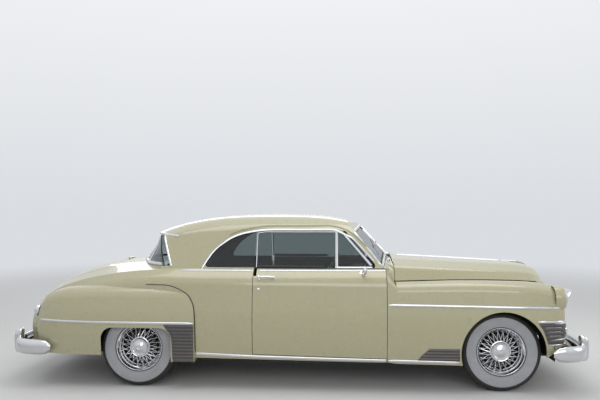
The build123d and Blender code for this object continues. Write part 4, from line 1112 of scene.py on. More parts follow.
class HARDTOP_OT_lamps(bpy.types.Operator):
    """Fit the headlamps with their hooded rims and collars, and the tail lamps"""
    bl_idname = "hardtop.lamps"
    bl_label = "Lamps"

    def execute(self, context):
        buckets, lenses, tails = [], [], []
        for side, word in SIDES:
            lamp = Vector((LAMP.x, LAMP.y * side, LAMP.z))
            rows = []
            for turn in circle(72):
                hood = max(0.0, math.cos(turn)) ** 1.5
                row = []
                for along, out in LAMP_RIM:
                    front = max(0.0, min(1.0, (along - 0.008) / 0.020))
                    reach, wide = along + 0.070 * hood * front, out - 0.021 * hood * front
                    row.append(lamp + Vector((reach, wide * math.sin(turn), wide * math.cos(turn))))
                rows.append(row)
            rows.append(rows[0])
            rim = loft(f"headlamp_rim_{word}", rows, ring=True, ends=False)
            turned_out(rim)
            finish_piece(rim, "chrome")
            collar = spun(f"headlamp_collar_{word}", LAMP_COLLAR, lamp, FORWARD, 72)
            finish_piece(collar, "paint")
            buckets.append(spun("bowl", LAMP_BOWL, lamp, FORWARD, 48))
            buckets.append(spun("bulb", LAMP_BULB, lamp, FORWARD, 24))
            ribs = [(0.002, 0.0855), (0.006, 0.0855)]
            ribs += [(0.006 + 0.024 * (1 - (r / 0.0855) ** 2) + 0.0006 * (n % 2), r)
                     for n, r in enumerate([0.0840 - 0.0042 * k for k in range(20)])]
            ribs += [(0.0305, 0.0), (0.002, 0.0)]
            lenses.append(spun("lens", ribs, lamp, FORWARD, 64))
            tail = Vector((TAIL_LAMP.x, TAIL_LAMP.y * side, TAIL_LAMP.z))
            back = Vector((-1, 0, 0))
            tails.append(spun("tail", TAIL_LENS, tail, back, 48))
            ring = spun(f"tail_rim_{word}", TAIL_RIM, tail, back, 48)
            finish_piece(ring, "chrome")
        bucket = joined("headlamp_bowls", *buckets)
        finish_piece(bucket, "chrome")
        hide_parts("headlamps")
        lens = joined("headlamp_lenses", *lenses)
        finish_piece(lens, "lens")
        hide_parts("lamp_lenses")
        tail = joined("tail_lamp_lenses", *tails)
        finish_piece(tail, "red")
        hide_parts("tail_lamps")
        return {"FINISHED"}


GRILLE_BARS = ((0.842, 0.365, 0.022), (0.775, 0.385, 0.016), (0.710, 0.398, 0.016), (0.618, 0.640, 0.038),
               (0.560, 0.640, 0.014), (0.510, 0.640, 0.022))
GRILLE_POSTS = (0.09, 0.21, 0.33, 0.45, 0.56)


class HARDTOP_OT_grille(bpy.types.Operator):
    """Make the grille's rounded bars and uprights"""
    bl_idname = "hardtop.grille"
    bl_label = "Grille"

    def execute(self, context):
        parts = []
        for z, half, height in GRILLE_BARS:
            section = [(height / 2 * math.sin(a), 0.022 + 0.024 * math.cos(a))
                       for a in circle(16)]
            spots = []
            for number in range(25):
                y = half * (number / 12 - 1)
                sweep = 0.012 * (abs(y) / 0.64) ** 2
                spots.append((Vector((2.409 - sweep, y, z)), FORWARD))
            parts.append(moulding("bar", spots, section, taper=0.02))
        bars = joined("grille_bars", *parts)
        finish_piece(bars, "chrome")
        parts = []
        for y in sorted([*GRILLE_POSTS, *[-v for v in GRILLE_POSTS]]):
            top = 0.862 if abs(y) < 0.38 else 0.632
            parts.append(plain_box("post", (2.398, y - 0.004, 0.482), (2.436, y + 0.004, top), 0.0025))
        posts = joined("grille_posts", *parts)
        finish_piece(posts, "steel")
        backing = plain_box("lower", (2.388, -0.652, 0.482), (2.396, 0.652, 0.630), 0.002)
        upper = plain_box("upper", (2.386, -0.378, 0.634), (2.394, 0.378, 0.860), 0.002)
        screen = joined("grille_backing", backing, upper)
        finish_piece(screen, "chassis")
        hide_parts("grille")
        return {"FINISHED"}


FRONT_BUMPER = ((2.690, 0.0), (2.682, 0.520), (2.655, 0.760), (2.575, 0.885), (2.470, 0.929), (2.318, 0.9365))
REAR_BUMPER = ((-2.690, 0.0), (-2.682, 0.520), (-2.650, 0.760), (-2.565, 0.885), (-2.450, 0.929),
               (-2.242, 0.9365))
BUMPER_Z = 0.371
BUMPER_SECTION = ((-0.064, -0.028), (-0.069, -0.012), (-0.066, 0.004), (-0.052, 0.017), (-0.030, 0.0245),
                  (0.0, 0.027), (0.030, 0.0245), (0.052, 0.017), (0.066, 0.004), (0.069, -0.012),
                  (0.064, -0.028), (0.058, -0.026), (0.060, -0.012), (0.050, 0.006), (0.028, 0.015),
                  (0.0, 0.018), (-0.028, 0.015), (-0.050, 0.006), (-0.060, -0.012), (-0.058, -0.026))
GUARD_ROWS = ((0.268, 0.026, 0.030, 0.000), (0.276, 0.036, 0.044, 0.006), (0.300, 0.040, 0.052, 0.010),
              (0.370, 0.042, 0.056, 0.012), (0.440, 0.041, 0.055, 0.010), (0.478, 0.038, 0.050, 0.004),
              (0.496, 0.030, 0.038, -0.004), (0.504, 0.016, 0.020, -0.012))


class HARDTOP_OT_bumpers(bpy.types.Operator):
    """Bend the bumper bars and fit their overriders, irons and front apron"""
    bl_idname = "hardtop.bumpers"
    bl_label = "Bumpers"

    def execute(self, context):
        for name, plan, ahead in (("front_bumper", FRONT_BUMPER, 1), ("rear_bumper", REAR_BUMPER, -1)):
            whole = [(x, -y) for x, y in reversed(plan[1:])] + list(plan)
            line = divided(rounded(whole, 0.16, 10), 0.05)
            spots = []
            for number, (x, y) in enumerate(line):
                before, after = line[max(number - 1, 0)], line[min(number + 1, len(line) - 1)]
                run = Vector((after[0] - before[0], after[1] - before[1], 0)).normalized()
                out = Vector((run.y, -run.x, 0))
                if out.dot(Vector((ahead, 0, 0)) + Vector((0, y, 0))) < 0:
                    out = -out
                spots.append((Vector((x, y, BUMPER_Z)), out))
            bar = moulding(f"{name}_bar", spots, BUMPER_SECTION, taper=0.07, angle=60)
            finish_piece(bar, "chrome")
            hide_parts(name)
            horns = []
            for side, _ in SIDES:
                middle = Vector((ahead * 2.6605, side * 0.70, 0))
                rows = []
                for z, half, reach, lean in GUARD_ROWS:
                    row = []
                    for turn in circle(20):
                        wide = abs(math.cos(turn)) ** 0.8 * math.copysign(1, math.cos(turn))
                        out = ahead * (lean + (reach - 0.012) * wide)
                        row.append(middle + Vector((out, half * math.sin(turn), z)))
                    rows.append(row)
                horns.append(loft("horn", rows, ring=True))
            pair = joined(f"{name}_overriders", *horns)
            finish_piece(pair, "chrome")
            if ahead > 0:
                self.splash_pan()
            irons = []
            inner, foot, top = (2.4505, 0.272, 0.328) if ahead > 0 else (2.4705, 0.304, 0.344)
            for side, _ in SIDES:
                near, far = sorted((ahead * inner, ahead * 2.668))
                low, high = (near, side * 0.39 - 0.018, foot), (far, side * 0.39 + 0.018, top)
                irons.append(plain_box("iron", low, high, 0.003))
            iron = joined(f"{name}_irons", *irons)
            finish_piece(iron, "chassis")
        return {"FINISHED"}

    def splash_pan(self):
        """The painted apron that fills the gap between the nose and the front bumper."""
        rows = []
        for number in range(41):
            y = 0.84 * (number / 20 - 1)
            far = 2.622 - 0.115 * (abs(y) / 0.84) ** 3.2
            row = []
            for step in range(9):
                share = step / 8
                rise = 0.455 - 0.052 * share + 0.012 * math.sin(math.pi * share)
                row.append(Vector((2.425 + (far - 2.425) * share, y, rise)))
            row.append(Vector((far + 0.001, y, 0.385)))
            rows.append(row)
        pan = loft("front_splash_pan", rows)
        thickened(pan, 0.002, 40)
        finish_piece(pan, "paint")


class HARDTOP_OT_front_detail(bpy.types.Operator):
    """Lay the hood spear, the ornament, the wipers and the mirror"""
    bl_idname = "hardtop.front_detail"
    bl_label = "Hood detail"

    def execute(self, context):
        hood = ("hood",)
        spots = [cast(hood, (x, 0.0, ABOVE), (0, 0, -1)) for x in [1.04 + 1.10 * n / 30 for n in range(31)]]
        finished_moulding("hood_spear", spots, crowned(0.014, 0.008), body="hood", taper=0.05)
        rows = []
        for number in range(33):
            share = number / 32
            x = 2.12 + 0.28 * share
            foot, _ = cast(hood, (x, 0.0, ABOVE), (0, 0, -1))
            half = 0.013 * math.sin(math.pi * min(0.97, 0.03 + share * 0.95)) ** 0.6 + 0.002
            rise = 0.005 + 0.020 * math.sin(math.pi * min(1, share * 0.86 + 0.1)) ** 1.3 * (0.3 + 0.7 * share)
            row = []
            for turn in circle(16):
                up = 0.5 + 0.5 * math.cos(turn)
                row.append(Vector((x, half * math.sin(turn), foot.z - 0.004 + (rise + 0.004) * up)))
            rows.append(row)
        ornament = loft("hood_ornament", rows, ring=True, angle=60)
        finish_piece(ornament, "chrome", "hood")
        parts = []
        for side, word in SIDES:
            foot, _ = cast(("body_shell",), (0.93, side * 0.33, ABOVE), (0, 0, -1))
            profile = ((-0.004, 0), (-0.004, 0.013), (0.010, 0.012), (0.018, 0.008), (0.018, 0))
            parts.append(spun("pivot", profile, foot, (0, 0, 1), 24))
            tip, normal = cast(("windscreen",), (SCREEN_AHEAD, side * 0.09, 1.315), (-1, 0, 0))
            parts.append(rod("arm", foot + Vector((0, 0, 0.014)), tip + normal * 0.022, 0.003, 8))
            low, low_n = cast(("windscreen",), (SCREEN_AHEAD, side * 0.255, 1.275), (-1, 0, 0))
            high, high_n = cast(("windscreen",), (SCREEN_AHEAD, side * 0.045, 1.345), (-1, 0, 0))
            parts.append(rod("blade", low + low_n * 0.012, high + high_n * 0.012, 0.004, 8))
        wipers = joined("wipers", *parts)
        finish_piece(wipers, "steel")
        for side, word in SIDES[1:]:
            point, normal = cast((f"door_{word}",), (0.640, side * BESIDE, 1.068), (0, -side, 0))
            head = Vector((point.x + 0.015, side * (abs(point.y) + 0.062), point.z + 0.030))
            stem = rod("stem", point - normal * 0.006, head, 0.006, 12)
            profile = ((-0.004, 0), (-0.004, 0.02), (0.004, 0.018), (0.007, 0.0))
            rose = spun("rose", profile, point, normal, 24)
            profile = ((0.0, 0.0), (0.0, 0.040), (0.005, 0.043), (0.012, 0.042), (0.024, 0.032),
                       (0.031, 0.014), (0.033, 0.0))
            bowl = spun("bowl", profile, head, (1, 0, -0.08), 40)
            mirror = joined("door_mirror", stem, rose, bowl)
            finish_piece(mirror, "chrome", f"door_{word}")
        return {"FINISHED"}


class HARDTOP_OT_liners(bpy.types.Operator):
    """Close off the wheel housings inside the fenders, black partly for their undercoat and partly as painted
    shade inside the arches
    """
    bl_idname = "hardtop.liners"
    bl_label = "Wheel housings"

    def execute(self, context):
        for word_end, x, radius, near, far in (("front", AXLE_X[0], 0.450, 0.47, 0.880),
                                               ("rear", AXLE_X[1], 0.380, 0.622, 0.905)):
            for side, word in SIDES:
                rows = []
                for number in range(25):
                    turn = math.radians(-8 + 196 * number / 24)
                    foot = Vector((x + radius * math.cos(turn), 0, TYRE_R + radius * math.sin(turn)))
                    rows.append([foot + Vector((0, side * (near + (far - near) * n / 6), 0))
                                 for n in range(7)])
                liner = loft(f"wheel_housing_{word_end}_{word}", rows)
                thickened(liner, 0.003)
                # Black housings: partly their own undercoat, partly painted shade for the darkness inside the
                # wheel arches
                finish_piece(liner, "seal")
        return {"FINISHED"}


# Fender welts, front end panels, boot handle and exhaust

WELT = ((-0.8865, 0.345), (-0.8865, 0.662), (-0.9015, 0.783), (-0.9575, 0.8755), (-1.118, 0.9545),
        (-1.360, 0.9555))
EXHAUST = ((1.400, -0.235, 0.780), (1.400, -0.268, 0.720), (1.340, -0.268, 0.165), (-1.750, -0.268, 0.165),
           (-2.060, -0.285, 0.262), (-2.610, -0.290, 0.250))
SILENCER = ((0, 0.0), (0, 0.024), (0.03, 0.040), (0.05, 0.046), (0.49, 0.046), (0.51, 0.040), (0.54, 0.024),
            (0.54, 0.0))
SIDE_LAMP_RIM = ((0.0, 0.0385), (0.0, 0.052), (0.008, 0.0535), (0.015, 0.049), (0.018, 0.043),
                 (0.014, 0.0405), (0.006, 0.0405))


class HARDTOP_OT_body_detail(bpy.types.Operator):
    """Add the fender welts, the front end panels with their lamps, the boot handle and the exhaust"""
    bl_idname = "hardtop.body_detail"
    bl_label = "Body detail"

    def execute(self, context):
        for side, word in SIDES:
            spots = on_side(("body_shell",), side, divided(rounded(WELT, 0.10, 8), 0.03))
            finished_moulding(f"fender_welt_{word}", spots, crowned(0.007, 0.0045, 0.003, 5), "seal")
            self.front_end(side, word)
        parts = []
        point, normal = cast(("trunk_lid",), (-AHEAD, 0.0, 0.800), (1, 0, 0))
        profile = ((-0.004, 0), (-0.004, 0.034), (0.004, 0.033), (0.009, 0.024), (0.022, 0.012),
                   (0.034, 0.011), (0.034, 0))
        parts.append(spun("rose", profile, point, normal, 40))
        tip = point + normal * 0.036
        rows = []
        for number in range(13):
            y = 0.066 * (number / 6 - 1)
            thick = 0.0105 * (1 - 0.45 * (y / 0.066) ** 2)
            middle = tip + Vector((0, y, 0))
            rows.append([middle + normal * thick * 0.8 * math.cos(a) + Vector((0, 0, thick * math.sin(a)))
                         for a in circle(14)])
        parts.append(loft("grip", rows, ring=True))
        handle = joined("boot_handle", *parts)
        finish_piece(handle, "chrome", "trunk_lid")
        pipe = tube("pipe", EXHAUST, 0.023, 0.07)
        strap = rod("strap", (-2.300, -0.290, 0.270), (-2.300, -0.352, 0.330), 0.006, 8)
        exhaust = joined("exhaust", pipe, strap)
        finish_piece(exhaust, "steel")
        box = spun("silencer", SILENCER, (-0.700, *EXHAUST[2][1:]), (1, 0, 0), 32)
        finish_piece(box, "chassis")
        return {"FINISHED"}

    def front_end(self, side, word):
        """The ribbed panel, bars and round lamp on the front of a fender, below its headlamp."""
        fender = (f"front_fender_{word}",)
        rows = []
        for number in range(41):
            z = 0.505 + 0.122 * number / 40
            swell = 0.5 - 0.5 * math.cos(math.tau * number * 5 / 40)
            row = []
            for step in range(13):
                y = side * (0.672 + 0.206 * step / 12)
                point, _ = cast(fender, (AHEAD, y, z), (-1, 0, 0))
                row.append(point + FORWARD * (0.002 + 0.006 * swell))
            rows.append(row)
        panel = loft(f"front_guard_{word}", rows, angle=60)
        thickened(panel, 0.003, 50)
        finish_piece(panel, "guard")
        for name, z, height, proud in (("front_bar", 0.640, 0.022, 0.013),
                                       ("front_foot_bar", 0.495, 0.016, 0.010)):
            rays = [((AHEAD, side * (0.668 + 0.222 * n / 12), z), (-1, 0, 0)) for n in range(13)]
            spots = hits(fender, rays)
            finished_moulding(f"{name}_{word}", spots, crowned(height, proud), taper=0.01)
        point, _ = cast(fender, (AHEAD, side * 0.765, 0.567), (-1, 0, 0))
        ribs = [(0.012 + 0.016 * (1 - (r / 0.040) ** 2) + 0.0006 * (n % 2), r)
                for n, r in enumerate([0.0398 - 0.0040 * k for k in range(10)])]
        profile = [(0.004, 0.0), (0.004, 0.040), *ribs, (0.0285, 0.0)]
        lens = spun(f"side_lamp_lens_{word}", profile, point, FORWARD, 48)
        finish_piece(lens, "amber")
        ring = spun(f"side_lamp_rim_{word}", SIDE_LAMP_RIM, point, FORWARD, 48)
        finish_piece(ring, "chrome")


class HARDTOP_OT_engine_bay(bpy.types.Operator):
    """Dress the engine with its cover, air cleaner, fan and hose, and stand the battery beside it"""
    bl_idname = "hardtop.engine_bay"
    bl_label = "Engine bay"

    def execute(self, context):
        cover = plain_box("valve_cover", (1.210, -0.095, 0.876), (1.800, 0.095, 0.946), 0.022, 4)
        finish_piece(cover, "engine")
        profile = ((0, 0), (0, 0.013), (0.008, 0.013), (0.012, 0.008), (0.018, 0.008), (0.018, 0))
        nuts = [spun("nut", profile, (x, 0, 0.944), UP, 16) for x in (1.30, 1.50, 1.70)]
        profile = ((0, 0), (0, 0.095), (0.010, 0.128), (0.060, 0.132), (0.066, 0.118), (0.072, 0.118),
                   (0.078, 0.130), (0.088, 0.128), (0.098, 0.060), (0.104, 0.020), (0.104, 0))
        carburettor = (1.48, -0.215, 0.905)
        cleaner = spun("air_cleaner", profile, carburettor, UP, 56)
        finish_piece(cleaner, "chassis")
        profile = ((-0.030, 0), (-0.030, 0.042), (0.004, 0.042), (0.004, 0))
        neck = spun("neck", profile, carburettor, UP, 32)
        manifold = plain_box("manifold", (1.280, -0.262, 0.760), (1.740, -0.205, 0.840), 0.018, 3)
        metal = joined("engine_metal", neck, manifold, *nuts)
        finish_piece(metal, "steel")
        blades = []
        section = ((-1, 0), (0, 0.003), (1, 0), (1, -0.002), (0, 0.0005), (-1, -0.002))
        profile = ((-0.07, 0), (-0.07, 0.045), (-0.02, 0.050), (0.0, 0.046), (0.012, 0.030), (0.012, 0))
        hub = spun("hub", profile, (1.920, 0, 0.660), (1, 0, 0), 32)
        for number in range(4):
            turn = math.tau * number / 4 + 0.5
            way = Vector((0, math.cos(turn), math.sin(turn)))
            wide = Vector((0, -math.sin(turn), math.cos(turn)))
            rows = []
            for reach, half, twist in ((0.030, 0.022, 0.018), (0.080, 0.036, 0.020), (0.150, 0.048, 0.018),
                                       (0.200, 0.046, 0.014), (0.215, 0.034, 0.010)):
                foot = Vector((1.935, 0, 0.660)) + way * reach
                rows.append([foot + wide * half * w + Vector((twist * w + t, 0, 0)) for w, t in section])
            blades.append(loft("blade", rows, ring=True, angle=30))
        fan = joined("cooling_fan", hub, *blades)
        finish_piece(fan, "chassis")
        tank = plain_box("top_tank", (2.245, -0.335, 0.862), (2.315, 0.335, 0.912), 0.014, 3)
        profile = ((0, 0), (0, 0.026), (0.010, 0.028), (0.016, 0.024), (0.018, 0))
        cap = spun("cap", profile, (2.28, 0.10, 0.910), UP, 32)
        radiator = joined("radiator_tank", tank, cap)
        finish_piece(radiator, "chassis")
        run = ((1.800, 0.040, 0.905), (1.900, 0.040, 0.930), (2.020, 0.045, 0.932), (2.150, 0.055, 0.895),
               (2.250, 0.060, 0.885))
        hose = tube("radiator_hose", run, 0.021, 0.06)
        finish_piece(hose, "rubber")
        battery = plain_box("battery", (2.010, 0.255, 0.600), (2.200, 0.415, 0.800), 0.006, 2)
        profile = ((0, 0), (0, 0.010), (0.016, 0.008), (0.016, 0))
        posts = [spun("post", profile, (x, 0.335, 0.799), UP, 16) for x in (2.045, 2.165)]
        tray = plain_box("tray", (2.000, 0.245, 0.588), (2.210, 0.425, 0.602), 0.002, 1)
        legs = [rod("leg", (x, 0.40, 0.594), (x, 0.40, 0.3305), 0.008, 8) for x in (2.03, 2.18)]
        carried = joined("battery_box", battery, tray, *posts, *legs)
        finish_piece(carried, "seal")
        return {"FINISHED"}


# Cabin

FRONT_CUSHION = ((0.168, 0.440), (0.172, 0.500), (0.150, 0.526), (-0.040, 0.520), (-0.236, 0.500),
                 (-0.262, 0.470), (-0.250, 0.436), (-0.040, 0.430), (0.130, 0.430))
FRONT_BACK = ((-0.276, 0.520), (-0.300, 0.640), (-0.328, 0.790), (-0.352, 0.930), (-0.368, 0.966),
              (-0.398, 0.974), (-0.428, 0.962), (-0.437, 0.900), (-0.424, 0.760), (-0.404, 0.600),
              (-0.392, 0.510), (-0.330, 0.500))
REAR_CUSHION = ((-0.618, 0.430), (-0.616, 0.484), (-0.640, 0.506), (-0.820, 0.496), (-0.985, 0.488),
                (-1.006, 0.460), (-0.995, 0.426), (-0.820, 0.420), (-0.650, 0.420))
REAR_BACK = ((-1.026, 0.510), (-1.050, 0.630), (-1.080, 0.780), (-1.106, 0.920), (-1.122, 0.962),
             (-1.160, 0.972), (-1.205, 0.966), (-1.226, 0.930), (-1.228, 0.760), (-1.228, 0.600),
             (-1.215, 0.535), (-1.120, 0.500))
CUSHION_VOXEL, CUSHION_PRESSURE = 0.010, 4.0
SETTLING_FRAMES = 20


def bolster(name, outline, half):
    """A long cushion: one side outline carried across the car, drawn in at its ends."""
    middle = sum((Vector((x, 0, z)) for x, z in outline), Vector()) / len(outline)
    rows = []
    for y, size in ((-half, 0.62), (-half + 0.010, 0.84), (-half + 0.030, 0.95), (-half + 0.070, 1.0),
                    *[(-half + 0.070 + (half - 0.070) * n / 8, 1.0) for n in range(1, 16)],
                    (half - 0.070, 1.0), (half - 0.030, 0.95), (half - 0.010, 0.84), (half, 0.62)):
        rows.append([middle + (Vector((x, 0, z)) - middle) * size + Vector((0, y, 0)) for x, z in outline])
    piece = loft(name, rows, ring=True)
    modify(piece, "SUBSURF", levels=1, render_levels=1)
    return piece


def stuffed(piece, cap):
    """Blows a closed form up as cloth over its filling and caps how far it moves."""
    modify(piece, "REMESH", mode="VOXEL", voxel_size=CUSHION_VOXEL)
    before = [v.co.copy() for v in piece.data.vertices]
    take(piece)
    cloth = piece.modifiers.new("Cloth", "CLOTH")
    cloth.settings.use_pressure = True
    cloth.settings.uniform_pressure_force = CUSHION_PRESSURE
    cloth.settings.effector_weights.gravity = 0
    cloth.point_cache.frame_start, cloth.point_cache.frame_end = 1, SETTLING_FRAMES
    for number in range(1, SETTLING_FRAMES + 1):
        bpy.context.scene.frame_set(number)
    bpy.ops.object.modifier_apply(modifier=cloth.name)
    for vertex, start in zip(piece.data.vertices, before):
        move = vertex.co - start
        if move.length > cap:
            vertex.co = start + move.normalized() * cap
    bpy.context.scene.frame_set(1)


def stitched(piece, spacing, depth, low_y, high_y, plane, reach):
    """Presses sewn channels into the side that faces along the plane's normal."""
    centre, normal = plane
    normal = Vector(normal).normalized()
    for vertex, facing in zip(piece.data.vertices, [v.normal.copy() for v in piece.data.vertices]):
        show = max(0.0, min(1.0, (facing.dot(normal) - 0.35) / 0.35))
        share = 1.0 if low_y < vertex.co.y < high_y else 0.0
        inside = (vertex.co - Vector(centre)).dot(Vector((normal.z, 0, -normal.x)))
        if abs(inside) > reach:
            share = 0.0
        wave = abs(math.sin(math.pi * (vertex.co.y - low_y) / spacing))
        edge = min(abs(abs(inside) - reach), abs(vertex.co.y - low_y), abs(vertex.co.y - high_y))
        seam = depth * 1.2 * max(0.0, 1 - edge / 0.012) if share or edge < 0.012 else 0.0
        vertex.co -= facing * show * max(share * depth * (1 - wave ** 0.6), seam)


class HARDTOP_OT_seats(bpy.types.Operator):
    """Stuff and stitch the two bench seats"""
    bl_idname = "hardtop.seats"
    bl_label = "Bench seats"

    def execute(self, context):
        for name, outline, half, plane, reach in (
            ("front_cushion", FRONT_CUSHION, 0.640, ((-0.040, 0, 0.52), (0.02, 0, 1)), 0.150),
            ("front_back", FRONT_BACK, 0.640, ((-0.318, 0, 0.735), (0.985, 0, 0.17)), 0.185),
            ("rear_cushion", REAR_CUSHION, 0.570, ((-0.810, 0, 0.50), (0.02, 0, 1)), 0.140),
            ("rear_back", REAR_BACK, 0.570, ((-1.070, 0, 0.735), (0.985, 0, 0.17)), 0.185),
        ):
            piece = bolster(name, outline, half)
            stuffed(piece, 0.014)
            edge = half - 0.085
            stitched(piece, edge * 2 / 16, 0.008, -edge, edge, plane, reach)
            modify(piece, "SUBSURF", levels=1, render_levels=1)
            soften(piece, 60)
            finish_piece(piece, "cloth")
            if name == "front_back":
                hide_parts("front_seat")
            if name == "rear_back":
                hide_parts("rear_seat")
        for name, outline, half in (
            ("front_seat_base", ((0.150, 0.424), (-0.372, 0.424), (-0.316, 0.346), (0.112, 0.346)), 0.640),
            ("rear_seat_base", ((-0.624, 0.415), (-1.070, 0.415), (-1.004, 0.346), (-0.638, 0.346)), 0.575),
        ):
            rows = [[Vector((x, y, z)) for x, z in outline] for y in (-half, -half / 3, half / 3, half)]
            base = loft(name, rows, ring=True)
            modify(base, "BEVEL", width=0.006, segments=3, limit_method="ANGLE")
            soften(base, 40)
            finish_piece(base, "hide")
        return {"FINISHED"}


DASH_PROFILE = ((0.582, 0.862), (0.554, 0.985), (0.556, 1.002), (0.570, 1.020), (0.602, 1.036),
                (0.720, 1.0395), (0.890, 1.0395), (0.8995, 1.032), (0.8995, 1.012), (0.690, 0.984),
                (0.640, 0.866), (0.600, 0.8605))
DASH_FACE = Vector((0.568, 0, 0.925))
DASH_OUT = Vector((-0.9744, 0, -0.2249))


class HARDTOP_OT_dashboard(bpy.types.Operator):
    """Make the dashboard with its dials, speaker and glove box"""
    bl_idname = "hardtop.dashboard"
    bl_label = "Dashboard"

    def execute(self, context):
        rows = []
        middle = Vector((0.65, 0, 0.965))
        inner = [(-0.5 + 0.125 * n, 1.0) for n in range(9)]
        for y, size in ((-0.600, 0.90), (-0.594, 0.96), (-0.580, 1.0), *inner, (0.580, 1.0), (0.594, 0.96),
                        (0.600, 0.90)):
            rows.append([middle + (Vector((x, 0, z)) - middle) * size + Vector((0, y, 0))
                         for x, z in DASH_PROFILE])
        panel = loft("dash_panel", rows, ring=True, angle=40)
        finish_piece(panel, "dash")
        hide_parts("dashboard")
        up = DASH_OUT.cross(LEFT).normalized()
        up = -up if up.z < 0 else up
        bright, faces, hands = [], [], []
        for y, radius in ((0.400, 0.056), (0.282, 0.036), (0.518, 0.036)):
            centre = DASH_FACE + Vector((0, y, 0)) + up * 0.004
            profile = [(along, radius * out) for along, out in
                       ((-0.003, 0.86), (-0.003, 1.1), (0.004, 1.12), (0.010, 1.05), (0.012, 0.97),
                        (0.008, 0.9), (0.003, 0.86))]
            bright.append(spun("bezel", profile, centre, DASH_OUT, 48))
            profile = ((-0.002, 0), (-0.002, radius * 0.9), (0.004, radius * 0.9), (0.0035, 0))
            faces.append(spun("face", profile, centre, DASH_OUT, 40))
            above = centre + DASH_OUT * 0.0045
            for number in range(13):
                turn = math.radians(-120 + 20 * number)
                way = up * math.cos(turn) + LEFT * math.sin(turn)
                hands.append(rod("tick", above + way * radius * 0.72, above + way * radius * 0.84, 0.0009, 4))
            way = up * math.cos(-1.4) + LEFT * math.sin(-1.4)
            above = centre + DASH_OUT * 0.006
            hands.append(rod("needle", above - way * radius * 0.15, above + way * radius * 0.7, 0.0011, 6))
            profile = ((0.002, 0), (0.002, 0.004), (0.008, 0.0035), (0.008, 0))
            hands.append(spun("boss", profile, centre, DASH_OUT, 16))
        for number in range(7):
            y = -0.105 + 0.035 * number
            foot = DASH_FACE + Vector((0, y, 0))
            bright.append(rod("speaker_bar", foot - up * 0.048 + DASH_OUT * 0.002,
                              foot + up * 0.050 + DASH_OUT * 0.002, 0.006, 12, 0.002))
        for y in (-0.30, 0.16, 0.20, -0.14, -0.18):
            centre = DASH_FACE + Vector((0, y, 0)) - up * (0.030 if y != -0.30 else -0.028)
            profile = ((-0.003, 0), (-0.003, 0.006), (0.010, 0.006), (0.012, 0.011), (0.020, 0.011),
                       (0.022, 0.008), (0.022, 0))
            bright.append(spun("knob", profile, centre, DASH_OUT, 20))
        spots = [(DASH_FACE + up * 0.062 + Vector((0, -0.56 + 0.08 * n, 0)), DASH_OUT) for n in range(15)]
        bright.append(moulding("dash_strip", spots, crowned(0.012, 0.005), taper=0.02))
        trims = joined("dash_brightwork", *bright)
        finish_piece(trims, "chrome")
        dials = joined("dial_faces", *faces)
        finish_piece(dials, "dial")
        marks = joined("dial_marks", *hands)
        finish_piece(marks, "ivory")
        lid_rows = []
        for number in range(9):
            y = -0.52 + 0.34 * number / 8
            foot = DASH_FACE + Vector((0, y, 0)) + DASH_OUT * 0.0005
            lid_rows.append([foot - up * 0.045, foot - up * 0.042 + DASH_OUT * 0.004,
                             foot + up * 0.038 + DASH_OUT * 0.004, foot + up * 0.041])
        lid = loft("glove_box_lid", lid_rows, ring=True, angle=30)
        finish_piece(lid, "dash")
        return {"FINISHED"}


HUB = Vector((0.330, 0.400, 0.985))
SHAFT = (Vector((0.868, 0.400, 0.663)) - HUB).normalized()


class HARDTOP_OT_steering_wheel(bpy.types.Operator):
    """Make the steering wheel with its spokes, horn ring and column lever"""
    bl_idname = "hardtop.steering_wheel"
    bl_label = "Steering wheel"

    def execute(self, context):
        body = body_of_node("steering_wheel")
        towards = -SHAFT
        top = LEFT.cross(SHAFT).normalized()
        top = -top if top.z < 0 else top
        ring = [(0.0102 * math.cos(a), 0.2042 + 0.0102 * math.sin(a)) for a in circle(14)]
        rim = spun("rim", ring, HUB, towards, 96)
        profile = ((-0.020, 0), (-0.020, 0.034), (-0.006, 0.044), (0.006, 0.040), (0.014, 0.030), (0.016, 0))
        hub = spun("hub", profile, HUB, towards, 48)
        parts = [rim, hub]
        for turn in (math.radians(98), math.radians(-98), math.pi):
            way = top * math.cos(turn) + LEFT * math.sin(turn)
            wide = towards.cross(way).normalized()
            rows = []
            for reach, half, deep, drop in ((0.030, 0.020, 0.009, -0.004), (0.080, 0.013, 0.007, -0.012),
                                            (0.140, 0.010, 0.006, -0.010), (0.185, 0.012, 0.007, -0.002),
                                            (0.2030, 0.016, 0.008, 0.0)):
                foot = HUB + way * reach + towards * drop
                rows.append([foot + wide * half * math.sin(a) + towards * deep * math.cos(a)
                             for a in circle(12)])
            parts.append(loft("spoke", rows, ring=True))
        wheel = joined("steering_wheel_rim", *parts)
        finish_piece(wheel, "ivory", body)
        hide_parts("steering_wheel")
        profile = ((0.012, 0), (0.012, 0.028), (0.018, 0.027), (0.024, 0.018), (0.026, 0))
        button = spun("button", profile, HUB, towards, 40)
        ring = [(0.012 + 0.0034 * math.cos(a), 0.128 + 0.0034 * math.sin(a)) for a in circle(8)]
        horn = spun("horn", ring, HUB, towards, 64)
        arms = [rod("arm", HUB + towards * 0.014 + LEFT * s * 0.02, HUB + towards * 0.012 + LEFT * s * 0.128,
                    0.003, 8) for s in (1, -1)]
        ring = joined("horn_ring", button, horn, *arms)
        finish_piece(ring, "chrome", body)
        foot, bend = HUB + SHAFT * 0.09, HUB + SHAFT * 0.075 + Vector((-0.01, -0.17, 0.05))
        tip = HUB + SHAFT * 0.072 + Vector((-0.012, -0.195, 0.057))
        stick = rod("lever", foot, bend, 0.005, 12)
        lever = joined("column_levers", stick, rod("knob", bend, tip, 0.012, 16, 0.005))
        finish_piece(lever, "chrome")
        return {"FINISHED"}


